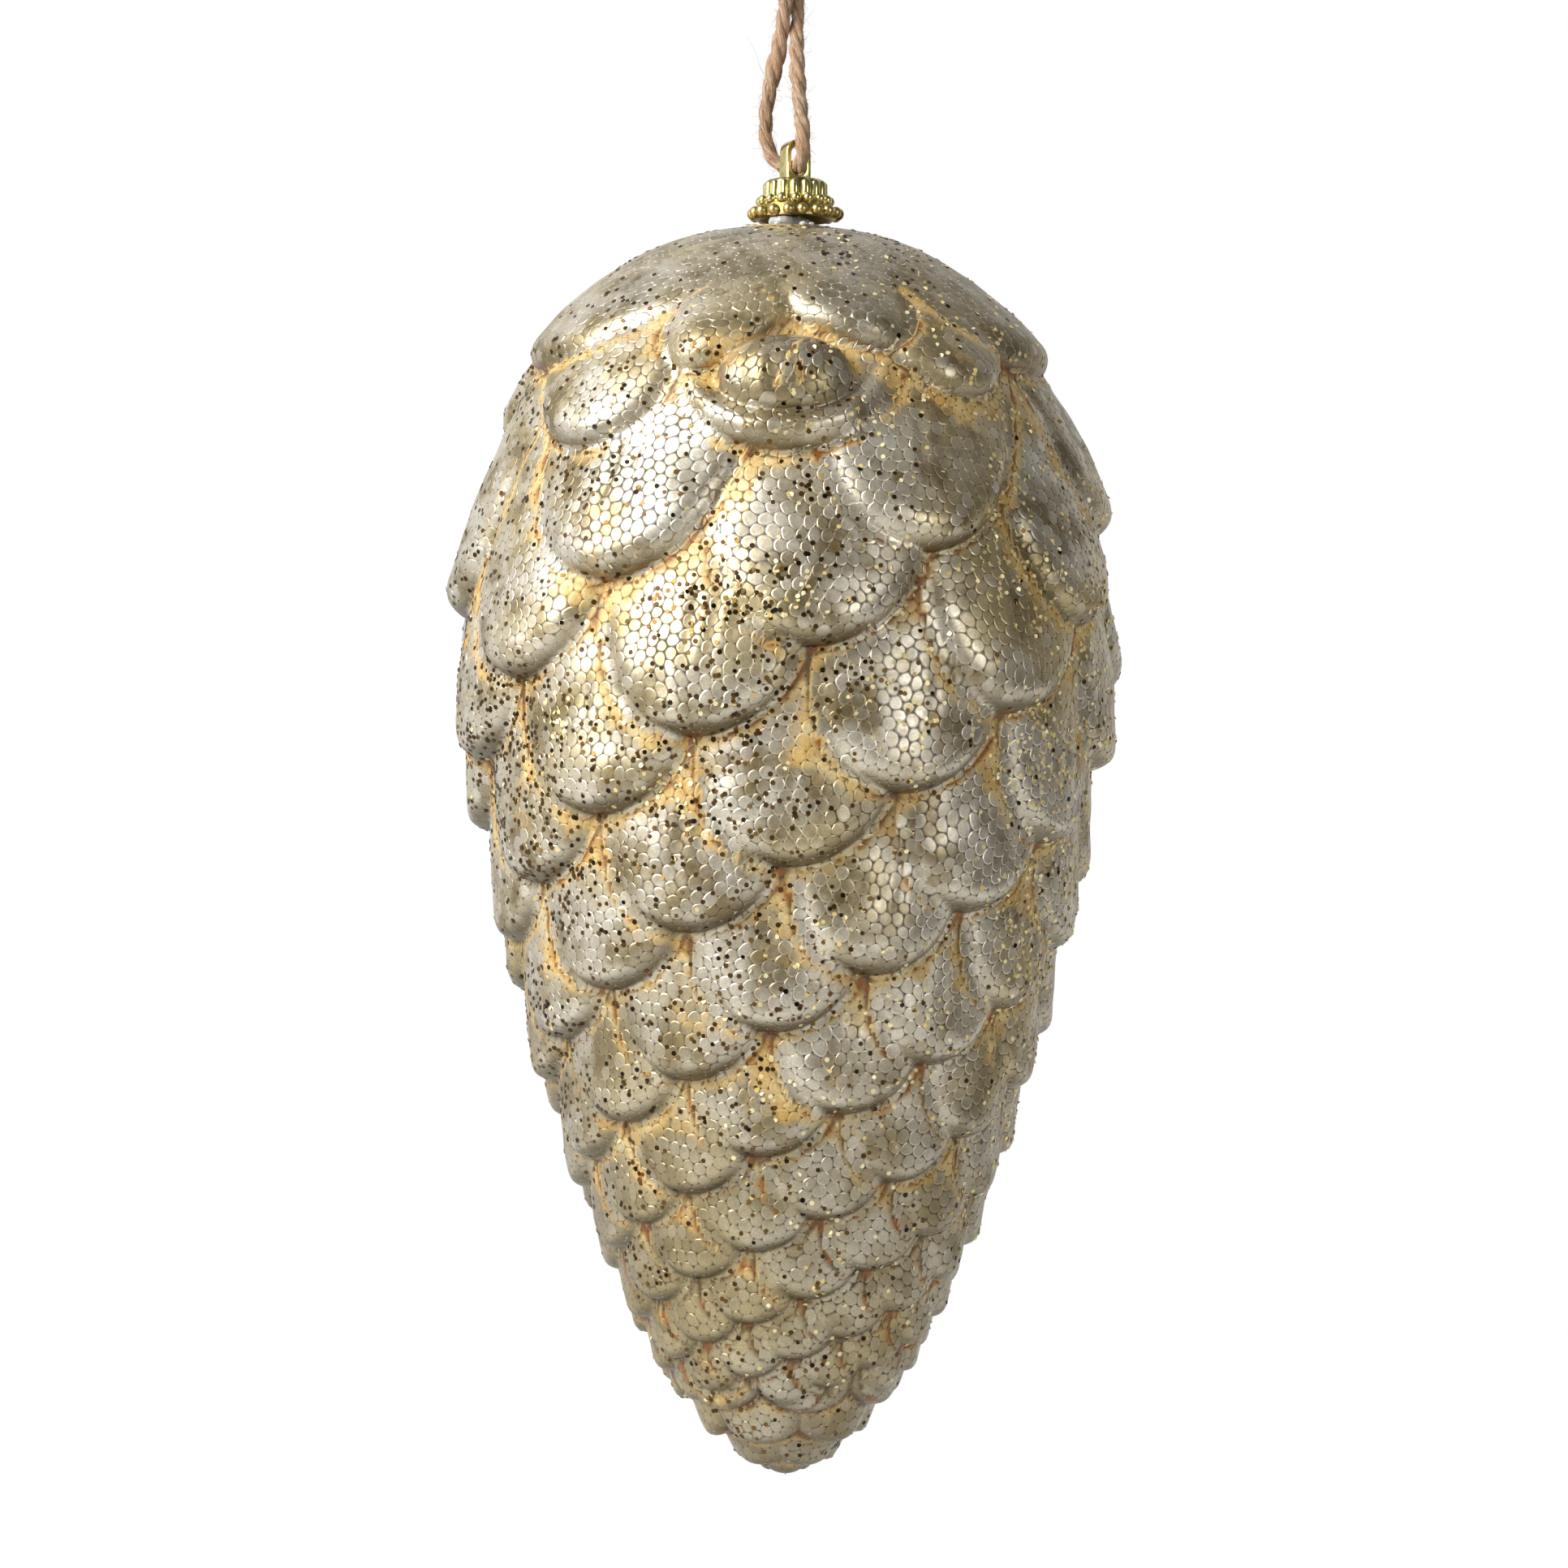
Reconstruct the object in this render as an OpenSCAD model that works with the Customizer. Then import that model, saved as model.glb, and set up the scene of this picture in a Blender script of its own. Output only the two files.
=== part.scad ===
// Hanging pine cone ornament: a moulded foam cone with overlapping scales in relief,
// a small gilt cap on a stem glued into its crown, and a jute twine loop with a knot.
// The origin is the inside of the loop's top, where the ornament hangs, with +Z up.

/* [Foam cone] */
// Height of the cone from its tip to the seat of the cap
cone_h = 251.7; // [180:1:320]
// Diameter of the foam under the scales, at its widest
cone_d = 124; // [90:1:160]
// Height of the widest place above the tip
widest_h = 162; // [120:1:175]
// Fullness of the cone just below its widest place
nose_power = 1.2; // [1.1:0.05:1.6]
// Bluntness of the cone's tip
nose_root = 1.8; // [1.6:0.05:2.2]
// Fullness of the crown just above the widest place
crown_power = 1.95; // [1.7:0.05:2.2]
// Flatness of the crown's top
crown_root = 2.6; // [2.2:0.05:3]
// Diameter of the flat seat moulded for the cap
seat_d = 21; // [20:0.5:26]

/* [Scales] */
// Number of spiral rows that climb to the right
rows_right = 12; // [9:1:15]
// Number of spiral rows that climb to the left
rows_left = 7; // [5:1:9]
// Angle between neighbours along a row that climbs to the right
row_turn = 20.25; // [18:0.25:22]
// Azimuth of the reference scale, from the front
first_azimuth = 0.8; // [-20:0.1:20]
// How fast the scales shrink towards the tip, per step
shrink = 0.088; // [0.08:0.001:0.1]
// Half the angle that one scale covers
scale_half_turn = 19.2; // [17:0.1:22]
// Depth of a scale's rounded lower edge, for each millimetre of radius
rim_depth = 0.22; // [0.15:0.01:0.3]
// Sideways lean of the scales
scale_lean = 0.12; // [0:0.01:0.3]
// Height of a scale's lip above the foam, at the widest place
lip_rise = 8.4; // [5:0.1:9]
// Height of a scale's lip above the foam, at the tip
tip_lip_rise = 2.8; // [1.5:0.1:4]
// Visible length of a scale, for each millimetre of radius
shown_share = 0.42; // [0.35:0.01:0.5]
// Height of the round knob in the front crown scale, above the foam
knob_rise = 9; // [5:0.1:10]

/* [Cap] */
// Distance of the cap's axis from the cone's axis, to the right
cap_shift = 2; // [0:0.1:3]
// Turn of the cap's shank about the vertical
cap_turn = 28; // [0:1:90]
// Diameter of the circle that the lower beads stand on
lower_ring_d = 17.4; // [16:0.1:20]
// Diameter of the lower beads
lower_bead_d = 2.1; // [1.5:0.1:2.6]
// Number of lower beads
lower_beads = 18; // [12:1:22]
// Diameter of the circle that the upper beads stand on
upper_ring_d = 13.9; // [13:0.1:15]
// Diameter of the upper beads
upper_bead_d = 1.7; // [1.2:0.1:2]
// Number of upper beads, and of the drum's ribs
ribs = 16; // [12:1:20]
// Diameter of the fluted drum between its ribs
drum_d = 12; // [11:0.1:13]
// Diameter of one rib of the drum
rib_d = 1.9; // [1.2:0.1:2.2]
// Height of the cap from the flange's underside to the drum's top
cap_h = 8.1; // [7:0.1:10]
// Wall of the hollow cap
cap_wall = 1.1; // [0.8:0.1:1.5]
// Width of the shank
shank_w = 5.6; // [5:0.1:7]
// Thickness of the shank
shank_t = 3.3; // [2.5:0.1:4]
// Height of the shank above the drum
shank_h = 7.6; // [7:0.1:10]
// Width of the eye in the shank
eye_w = 3.4; // [3.2:0.1:3.8]
// Height of the eye
eye_h = 5.4; // [4.5:0.1:6]
// Web under the eye, above the drum
eye_web = 0.9; // [0.5:0.1:1.5]
// Diameter of the stem that is pushed into the foam
stem_d = 4.4; // [3.5:0.1:5]
// Length of the stem below the flange
stem_l = 22; // [15:0.5:30]

/* [Glue and fits] */
// Height of the glue between the cone's seat and the flange
glue_h = 2.1; // [1.5:0.1:3]
// Radius of the bead of glue
glue_r = 6.9; // [6.5:0.1:7.5]
// Gap between the stem and what it passes through
stem_gap = 0.15; // [0.05:0.05:0.3]

/* [Twine] */
// Diameter of the twine
twine_d = 2.8; // [2:0.1:3]
// Diameter of the knot
knot_d = 9; // [8:0.1:11]

/* [Hidden] */

// Levels on the vertical through the hanging point
knot_top_z = -28;
knot_bottom_z = -37;
drum_top_z = -75.5;
flange_z = drum_top_z - cap_h;
seat_z = flange_z - glue_h;
tip_z = seat_z - cone_h;

// The cap and the cone lie on both sides of the vertical through the hanging point
cap_x = cap_shift / 2;
cone_x = -cap_shift / 2;
glue_offset = [-3.4, -1.6];

// The cone's profile from tip to crown, as radius and height
base_r = cone_d / 2;
socket_r = stem_d / 2 + stem_gap;
function nose_point(a) =
    [base_r * pow(cos(a), 2 / nose_root),
     widest_h * (1 - pow(sin(a), 2 / nose_power))];
function crown_point(a) =
    [base_r * pow(cos(a), 2 / crown_root),
     widest_h + (cone_h - widest_h) * pow(sin(a), 2 / crown_power)];
profile = [
    each [for (a = [90 : -1.5 : 0]) nose_point(a)],
    each [for (a = [1.5 : 1.5 : 90]) crown_point(a)]
];
last = len(profile) - 1;
// Distance along the profile from the tip to each of its points
travel = [
    for (i = 0, s = 0; i <= last;
         i = i + 1, s = i <= last ? s + norm(profile[i] - profile[i - 1]) : s)
        s
];
girth = travel[last];
radius_table = [for (i = [0 : last]) [travel[i], profile[i][0]]];
height_table = [for (i = [0 : last]) [travel[i], profile[i][1]]];
travel_table = [for (i = [0 : last]) [profile[i][1], travel[i]]];
function radius_at(s) = lookup(s, radius_table);
function height_at(s) = lookup(s, height_table);
function travel_at(z) = lookup(z, travel_table);
function normal_at(s) =
    let (d = [radius_at(s + 1) - radius_at(s - 1), height_at(s + 1) - height_at(s - 1)])
    [d[1], -d[0]] / norm(d);

// A scale is [azimuth, travel of its tip, half width, rim depth, lean, rise, visible length,
// share of its rise that is hollowed out behind its lip]
lip_slope = (lip_rise - tip_lip_rise) / base_r;
shown_least = 3;
overlap = 1;
function new_scale(azimuth, s, half_w, rim, lean, hollow = 0) =
    [azimuth, s, half_w, rim, lean,
     tip_lip_rise + lip_slope * radius_at(s), shown_share * radius_at(s) + shown_least, hollow];

// Regular scales lie where the two families of spirals cross
cross_turn = (360 - rows_right * row_turn) / rows_left;
spiral_start = -0.048;
spiral_reach = 0.509;
crown_step = -4;
lowest_regular = 24;
regular_scales = [
    for (i = [-20 : 30], j = [-20 : 20])
        let (step = i + rows_right / rows_left * j,
             azimuth = first_azimuth - row_turn * i + cross_turn * j,
             s = girth * (spiral_start + spiral_reach * exp(-shrink * step)),
             r = radius_at(s))
        if (step >= crown_step && s >= lowest_regular && azimuth >= -180 && azimuth < 180)
            new_scale(azimuth, s, scale_half_turn * PI / 180 * r + overlap, rim_depth * r, scale_lean)
];

// Four rings of small scales close the tip: count, height, half width, rim depth, azimuth
tip_rings = [[7, 14, 10.5, 5, 12], [6, 7, 9.5, 4, -20], [5, 2, 8, 3, 30], [3, 0.2, 6, 3, 0]];
tip_scales = [
    for (ring = tip_rings, k = [0 : ring[0] - 1])
        new_scale(ring[4] + 360 / ring[0] * k, travel_at(ring[1]), ring[2], ring[3], 0)
];

// The crown's scales are larger and irregular: azimuth, depth below the seat, half width,
// rim depth, lean, hollow
crown_list = [
    [0, 51.5, 21.5, 9.5, 0, 0.75], [-19.5, 35.5, 12.5, 10, 0.35, 0], [20.5, 31, 14, 9.5, -0.42, 0],
    [-40, 50, 18, 9.5, -0.15, 0], [38.5, 40, 16, 9, 0.05, 0], [-64, 32, 26, 6, 0.1, 0],
    [71, 33, 26, 6, 0, 0], [112, 44, 19, 10, 0.1, 0], [146, 35, 24, 7, 0.1, 0],
    [-178, 47, 20, 9, 0.1, 0], [-142, 36, 24, 7, 0.1, 0], [-108, 45, 19, 10, 0.1, 0]
];
crown_scales = [
    for (c = crown_list)
        new_scale(c[0], travel_at(cone_h - c[1]), c[2], c[3], c[4], c[5])
];
all_scales = concat(regular_scales, tip_scales, crown_scales);

// Height of one scale above the foam: a round edge, then a fall to where it is covered.
// Across the scale, x runs from -1 to 1, and the edge follows x^2 with squared-off shoulders.
scale_reach = 2.4;
edge_share = 1.15;
covered_fall = 0.6;
cross_fall = 0.42;
across_limit = 1.3;
lip_width = 0.7;
crossed_limit = 1.1;
shoulder = 0.6;
function clamp(x, low, high) = min(max(x, low), high);
function wrap(a) = a - 360 * floor((a + 180) / 360);
function scale_height(c, azimuth, s, r) =
    let (v = s - c[1],
         x = (wrap(azimuth - c[0]) * PI / 180 * r - c[4] * v) / c[2])
    abs(x) >= across_limit ? 0 :
    let (rim = c[3] * (x * x + shoulder * pow(x, 8)),
         slope = c[3] / c[2] * (2 * x + 8 * shoulder * pow(x, 7)),
         inside = (v - rim) / sqrt(1 + slope * slope),
         from_edge = inside / (edge_share * c[5]),
         e = clamp(from_edge, 0, 1),
         dish = 1 - c[7] * clamp(from_edge - lip_width, 0, 1),
         q = (v - edge_share * c[5] / 2) / c[6],
         fall = q < 1 ? 1 - covered_fall * max(q, 0)
                      : (1 - covered_fall) * max((scale_reach - q) / (scale_reach - 1), 0))
    c[5] * sqrt(1 - (1 - e) * (1 - e)) * fall * dish * (1 - cross_fall * pow(min(abs(x), crossed_limit), 2));

// The front crown scale is a lip round a broad knob
knob_depth = 36.5;
knob_half_w = 12.5;
knob_half_h = 8.3;
knob_edge = 0.3;
knob_s = travel_at(cone_h - knob_depth);
function knob_height(azimuth, s, r) =
    let (u = wrap(azimuth) * PI / 180 * r / knob_half_w,
         v = (s - knob_s) / knob_half_h,
         q = 1 - u * u - v * v)
    q > 0 ? knob_rise * (knob_edge + (1 - knob_edge) * sqrt(q)) : 0;

// The relief dies out round the cap's seat
seat_r = seat_d / 2;
seat_blend = 45;
blend_power = 0.8;
function relief(near, azimuth, s, r) =
    max(max([for (c = near) scale_height(c, azimuth, s, r)])
            * (s < girth / 2 ? 1 : pow(clamp((r - seat_r) / seat_blend, 0, 1), blend_power)),
        knob_height(azimuth, s, r));

// The grid of the moulded surface: rings from tip to socket, closer together at the tip
columns = 84;
rings = 68;
tip_spacing = 0.75;
function ring_s(k) =
    let (u = k / rings)
    (girth - socket_r) * u * (tip_spacing + (1 - tip_spacing) * u);
function ring_points(k) =
    let (s = ring_s(k),
         r = radius_at(s),
         on_seat = s > girth / 2 && r < seat_r,
         z = on_seat ? cone_h : height_at(s),
         n = normal_at(s),
         near = [for (c = all_scales) if (s > c[1] && s < c[1] + scale_reach * c[6]) c],
         to_cap = on_seat ? cap_shift * (seat_r - r) / (seat_r - socket_r) : 0)
    [
        for (c = [0 : columns - 1])
            let (azimuth = 360 / columns * c,
                 h = on_seat ? 0 : relief(near, azimuth, s, r),
                 rr = r + h * n[0])
            [to_cap + rr * sin(azimuth), -rr * cos(azimuth), z + h * n[1]]
    ];

module cone_body() {
    floor_gap = 0.5;
    socket_depth = stem_l + floor_gap - glue_h;
    walls = [for (k = [1 : rings]) each ring_points(k)];
    socket = [
        for (c = [0 : columns - 1])
            [cap_shift + socket_r * sin(360 / columns * c),
             -socket_r * cos(360 / columns * c),
             cone_h - socket_depth]
    ];
    tip_i = len(walls) + columns;
    bottom_i = tip_i + 1;
    points = concat(walls, socket, [[0, 0, -tip_lip_rise]], [[cap_shift, 0, cone_h - socket_depth]]);
    faces = [
        for (c = [0 : columns - 1])
            [tip_i, c, (c + 1) % columns],
        for (k = [0 : rings - 1], c = [0 : columns - 1])
            let (a = k * columns + c, b = k * columns + (c + 1) % columns)
            each [[a, a + columns, b + columns], [a, b + columns, b]],
        for (c = [0 : columns - 1])
            [rings * columns + c, bottom_i, rings * columns + (c + 1) % columns]
    ];
    color("#b3a684")
        translate([cone_x, 0, tip_z])
            polyhedron(points, faces, convexity = 6);
}

// Beads or ribs set evenly round a circle
module round_circle(count, radius) {
    for (k = [0 : count - 1])
        rotate([0, 0, 360 / count * k])
            translate([radius, 0, 0])
                children();
}

module cap_shell() {
    flange_r = lower_ring_d / 2;
    band_r = upper_ring_d / 2;
    drum_r = drum_d / 2;
    soften = 0.6;
    bead_lift = 0.1;
    rib_stand = 0.6;
    sink = 0.25;
    lower_z = lower_bead_d / 2 + bead_lift;
    upper_z = lower_bead_d + upper_bead_d;
    step_z = upper_z - sink;
    rotate_extrude($fn = 96)
        polygon([
            [flange_r - cap_wall, 0],
            [flange_r - sink, 0],
            [flange_r - sink, lower_z + sink],
            [band_r + sink / 2, step_z - sink],
            [band_r + sink / 2, step_z],
            [drum_r, step_z],
            [drum_r, cap_h - soften],
            [drum_r - soften, cap_h],
            [0, cap_h],
            [0, cap_h - cap_wall],
            [drum_r - cap_wall, cap_h - cap_wall],
            [drum_r - cap_wall, step_z - cap_wall]
        ]);
    round_circle(lower_beads, flange_r)
        translate([0, 0, lower_z])
            sphere(d = lower_bead_d, $fn = 24);
    round_circle(ribs, band_r)
        translate([0, 0, upper_z])
            sphere(d = upper_bead_d, $fn = 24);
    translate([0, 0, step_z - sink])
        linear_extrude(cap_h - soften - step_z)
            round_circle(ribs, drum_r - rib_d / 2 + rib_stand)
                circle(d = rib_d, $fn = 24);
}

module shank() {
    arch_r = shank_w / 2;
    rotate([0, 0, cap_turn])
        translate([0, shank_t / 2, 0])
            rotate([90, 0, 0])
                linear_extrude(shank_t)
                    difference() {
                        union() {
                            translate([-arch_r, -cap_wall / 3])
                                square([shank_w, shank_h + cap_wall / 3 - arch_r]);
                            translate([0, shank_h - arch_r])
                                circle(r = arch_r, $fn = 64);
                        }
                        translate([-eye_w / 2, eye_web + eye_w / 2])
                            square([eye_w, eye_h - eye_w]);
                        translate([0, eye_web + eye_w / 2])
                            circle(d = eye_w, $fn = 48);
                        translate([0, eye_web + eye_h - eye_w / 2])
                            circle(d = eye_w, $fn = 48);
                    }
}

module cap() {
    point_h = 3;
    color("#d2b04c")
        translate([cap_x, 0, flange_z]) {
            cap_shell();
            translate([0, 0, cap_h])
                shank();
            translate([0, 0, point_h - stem_l])
                cylinder(d = stem_d, h = stem_l - point_h + cap_h - cap_wall / 2, $fn = 48);
            translate([0, 0, -stem_l])
                cylinder(d1 = stem_d / 2, d2 = stem_d, h = point_h, $fn = 48);
        }
}

module glue_bead() {
    bulge = 0.5;
    color("#e4e0d4")
        translate([cap_x, 0, seat_z])
            difference() {
                translate([glue_offset[0], glue_offset[1], 0])
                    rotate_extrude($fn = 64)
                        polygon([
                            [0, 0],
                            [glue_r, 0],
                            [glue_r + bulge, glue_h * 0.35],
                            [glue_r + bulge * 0.6, glue_h * 0.75],
                            [glue_r - bulge, glue_h],
                            [0, glue_h]
                        ]);
                translate([0, 0, -1])
                    cylinder(r = socket_r, h = glue_h + 2, $fn = 48);
            }
}

// The twine's route up from the knot's right foot, through the eye and back to its left foot
strand_route = [
    [1.5, 1.3, -37], [1.5, 1.2, -39.5], [1.4, 0.7, -43], [1.3, -0.3, -46.5],
    [1.3, -1.2, -50], [1.4, -2, -53.5], [1.7, -2.7, -57], [2, -3.3, -61],
    [2.4, -3.8, -65], [2.6, -4, -68], [2.5, -3.7, -70.6], [2, -2.3, -72.6],
    [1, 0, -72.9], [-0.4, 2.3, -72.6], [-2, 4, -71.9], [-3.7, 4.6, -70],
    [-4.7, 4.6, -67.2], [-5.1, 4.2, -63.8], [-4.9, 3.4, -60.3], [-4.3, 2.6, -56.8],
    [-3.5, 1.8, -53.3], [-2.7, 0.9, -50], [-2, 0, -46.6], [-1.5, -0.7, -43],
    [-1.1, -1.1, -39.5], [-1.1, -1.2, -37]
];
// The loop's route from the knot's right shoulder over the hanging point to its left one
loop_route = [
    [1.6, 0, -28], [2.2, 0, -24.5], [4, 0, -20], [5.9, 0, -15],
    [7, 0, -10.5], [6.9, 0, -6], [5.3, 0, -1.8], [2.8, 0, 0.6],
    [0, 0, 1.4], [-2.8, 0, 0.6], [-5.3, 0, -1.8], [-6.9, 0, -6],
    [-7, 0, -10.5], [-5.9, 0, -15], [-4, 0, -20], [-2.2, 0, -24.5],
    [-1.6, 0, -28]
];

// A tube of eight sides swept along a route that starts and ends upright
module twine_tube(route, side_hint) {
    sides = 8;
    n = len(route);
    function unit(v) = v / norm(v);
    function heading(k) =
        k == 0 ? [0, 0, sign(route[1][2] - route[0][2])] :
        k == n - 1 ? [0, 0, sign(route[n - 1][2] - route[n - 2][2])] :
        unit(route[k + 1] - route[k - 1]);
    function across(k) = unit(side_hint - (side_hint * heading(k)) * heading(k));
    points = [
        for (k = [0 : n - 1])
            let (a = across(k), b = cross(heading(k), a))
            for (c = [0 : sides - 1])
                route[k] + twine_d / 2 * (cos(360 / sides * c) * a + sin(360 / sides * c) * b)
    ];
    faces = [
        [for (c = [0 : sides - 1]) c],
        [for (c = [sides - 1 : -1 : 0]) (n - 1) * sides + c],
        for (k = [0 : n - 2], c = [0 : sides - 1])
            let (p = k * sides + c, q = k * sides + (c + 1) % sides)
            each [[p, p + sides, q + sides], [p, q + sides, q]]
    ];
    polyhedron(points, faces, convexity = 6);
}

module twine_strands() {
    color("#b08f6b")
        twine_tube(strand_route, [cos(cap_turn), sin(cap_turn), 0]);
}

module twine_loop() {
    color("#b08f6b")
        twine_tube(loop_route, [0, 1, 0]);
}

module twine_knot() {
    h = knot_top_z - knot_bottom_z;
    foot_r = knot_d * 0.38;
    color("#a88762")
        translate([0, 0, knot_bottom_z])
            rotate_extrude($fn = 48)
                polygon([
                    [0, 0],
                    [foot_r, 0],
                    [knot_d * 0.47, h * 0.22],
                    [knot_d / 2, h * 0.5],
                    [knot_d * 0.47, h * 0.78],
                    [foot_r, h],
                    [0, h]
                ]);
}

cone_body();
cap();
glue_bead();
twine_strands();
twine_knot();
twine_loop();
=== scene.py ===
# %% [markdown]
# # Hanging pine cone ornament
# The real thing is a pine cone moulded from expanded foam beads, painted with champagne metal
# paint, washed with cream in its creases and sprinkled with glitter. A gilt plastic cap is glued
# into its crown, and a jute twine goes through the cap's eye up to a knotted hanging loop.
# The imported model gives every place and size. The origin is the inside of the loop's top.

import math
from types import SimpleNamespace

import bmesh
import bpy
import numpy as np
from mathutils import Matrix, Vector


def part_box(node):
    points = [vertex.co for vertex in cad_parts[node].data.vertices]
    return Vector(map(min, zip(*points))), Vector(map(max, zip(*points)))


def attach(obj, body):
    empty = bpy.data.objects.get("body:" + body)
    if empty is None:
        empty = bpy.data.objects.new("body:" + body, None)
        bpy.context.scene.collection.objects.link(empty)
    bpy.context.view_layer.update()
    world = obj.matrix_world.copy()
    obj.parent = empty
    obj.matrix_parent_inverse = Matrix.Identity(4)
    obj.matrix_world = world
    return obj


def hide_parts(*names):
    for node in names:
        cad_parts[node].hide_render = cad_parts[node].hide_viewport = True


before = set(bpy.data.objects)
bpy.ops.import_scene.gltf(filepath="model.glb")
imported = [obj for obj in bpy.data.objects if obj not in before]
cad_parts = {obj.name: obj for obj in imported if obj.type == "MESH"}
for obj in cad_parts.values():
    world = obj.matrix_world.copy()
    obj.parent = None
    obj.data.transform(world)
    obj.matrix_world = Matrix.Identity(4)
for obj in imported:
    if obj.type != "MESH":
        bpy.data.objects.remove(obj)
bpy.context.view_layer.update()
MM = 0.001
IMAGE_SIZE = 1932


def corners(node):
    low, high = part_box(node)
    return Vector(low), Vector(high)


cone_low, cone_high = corners("cone_body")
SEAT_Z = corners("glue_bead")[0].z
print("frame:", sorted(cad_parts), "cone height", round(cone_high.z - cone_low.z, 4))

# %% [markdown]
# ## Camera
# The photo looks level at the middle of the ornament from about 0.8 m. One pixel of it is
# 0.166 mm at the ornament, which gives the field of view, and the knot and loop lie above it.

# %% Camera
PIXEL = 0.166 * MM
CAMERA_DISTANCE = 820 * MM
VIEW_CENTRE = Vector((-1.3 * MM, 0, -198.9 * MM))


def add_camera():
    data = bpy.data.cameras.new("camera")
    data.sensor_width = 36
    data.lens = data.sensor_width * CAMERA_DISTANCE / (IMAGE_SIZE * PIXEL)
    data.clip_start = 0.01
    camera = bpy.data.objects.new("camera", data)
    camera.location = VIEW_CENTRE - Vector((0, CAMERA_DISTANCE, 0))
    camera.rotation_euler = (math.radians(90), 0, 0)
    bpy.context.scene.collection.objects.link(camera)
    bpy.context.scene.camera = camera
    print("camera: lens", round(data.lens, 1), "mm")


add_camera()

# %% [markdown]
# ## Small helpers
# A grid from an operator can be bent into any sheet or tube: each of its points knows its column
# and its row, and goes to the place that an array holds for them. Whole meshes are handled as
# arrays, so a fine one takes about a second.

# %% Helpers for meshes
def link(name, mesh, material):
    piece = bpy.data.objects.new(name, mesh)
    bpy.context.scene.collection.objects.link(piece)
    mesh.materials.append(material)
    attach(piece, "root")
    return piece


def to_mesh(name, bm, smooth=True):
    for face in bm.faces:
        face.smooth = smooth
    mesh = bpy.data.meshes.new(name)
    bm.to_mesh(mesh)
    bm.free()
    return mesh


def curve_mesh(name, curve):
    """The mesh of a curve, which is then removed."""
    holder = bpy.data.objects.new(name, curve)
    mesh = bpy.data.meshes.new_from_object(holder)
    bpy.data.objects.remove(holder)
    bpy.data.curves.remove(curve)
    mesh.name = name
    return mesh


def grid_places(mesh, columns, rows):
    """Column and row of each point of a new grid."""
    flat = np.empty(len(mesh.vertices) * 3)
    mesh.vertices.foreach_get("co", flat)
    flat = flat.reshape(-1, 3)
    column = np.rint((flat[:, 0] + 1) / 2 * columns).astype(int)
    row = np.rint((flat[:, 1] + 1) / 2 * rows).astype(int)
    return column, row


def bend_grid(name, columns, rows, points):
    """A grid whose point at a column and a row goes to points[row, column]."""
    bm = bmesh.new()
    bm.loops.layers.uv.new("UVMap")
    bmesh.ops.create_grid(bm, x_segments=columns, y_segments=rows, size=1, calc_uvs=True)
    mesh = to_mesh(name, bm)
    column, row = grid_places(mesh, columns, rows)
    mesh.vertices.foreach_set("co", points[row, column].ravel())
    mesh.update()
    return mesh, column, row


def weld(mesh, fill=True):
    """Merges a bent grid's seam and poles and fills its open ends."""
    bm = bmesh.new()
    bm.from_mesh(mesh)
    bmesh.ops.remove_doubles(bm, verts=bm.verts, dist=0.002 * MM)
    if fill:
        bmesh.ops.holes_fill(bm, edges=[e for e in bm.edges if e.is_boundary], sides=0)
    bmesh.ops.recalc_face_normals(bm, faces=bm.faces)
    for face in bm.faces:
        face.smooth = True
    bm.to_mesh(mesh)
    bm.free()
    return mesh


def mark(mesh, name, values):
    """Keeps a value for each point, which a material reads by its name."""
    attribute = mesh.attributes.new(name, "FLOAT", "POINT")
    attribute.data.foreach_set("value", values)


# %% [markdown]
# ## The twine
# The twine is three-ply jute. It leaves the cap's eye, goes up to the knot, round the hanging
# loop and back down into the eye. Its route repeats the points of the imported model. Each ply is
# a tube that winds round the route, because a single round tube would look like a wire.

# %% Route of the twine
strand_route = [
    [1.5, 1.3, -37], [1.5, 1.2, -39.5], [1.4, 0.7, -43], [1.3, -0.3, -46.5],
    [1.3, -1.2, -50], [1.4, -2, -53.5], [1.7, -2.7, -57], [2, -3.3, -61],
    [2.4, -3.8, -65], [2.6, -4, -68], [2.5, -3.7, -70.6], [2, -2.3, -72.6],
    [1, 0, -72.9], [-0.4, 2.3, -72.6], [-2, 4, -71.9], [-3.7, 4.6, -70],
    [-4.7, 4.6, -67.2], [-5.1, 4.2, -63.8], [-4.9, 3.4, -60.3], [-4.3, 2.6, -56.8],
    [-3.5, 1.8, -53.3], [-2.7, 0.9, -50], [-2, 0, -46.6], [-1.5, -0.7, -43],
    [-1.1, -1.1, -39.5], [-1.1, -1.2, -37],
]
loop_route = [
    [1.6, 0, -28], [2.2, 0, -24.5], [4, 0, -20], [5.9, 0, -15],
    [7, 0, -10.5], [6.9, 0, -6], [5.3, 0, -1.8], [2.8, 0, 0.6],
    [0, 0, 1.4], [-2.8, 0, 0.6], [-5.3, 0, -1.8], [-6.9, 0, -6],
    [-7, 0, -10.5], [-5.9, 0, -15], [-4, 0, -20], [-2.2, 0, -24.5],
    [-1.6, 0, -28],
]
EYE_INDEX = 12
twine_route = np.array(strand_route[EYE_INDEX::-1] + loop_route + strand_route[:EYE_INDEX - 1:-1]) * MM


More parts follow.
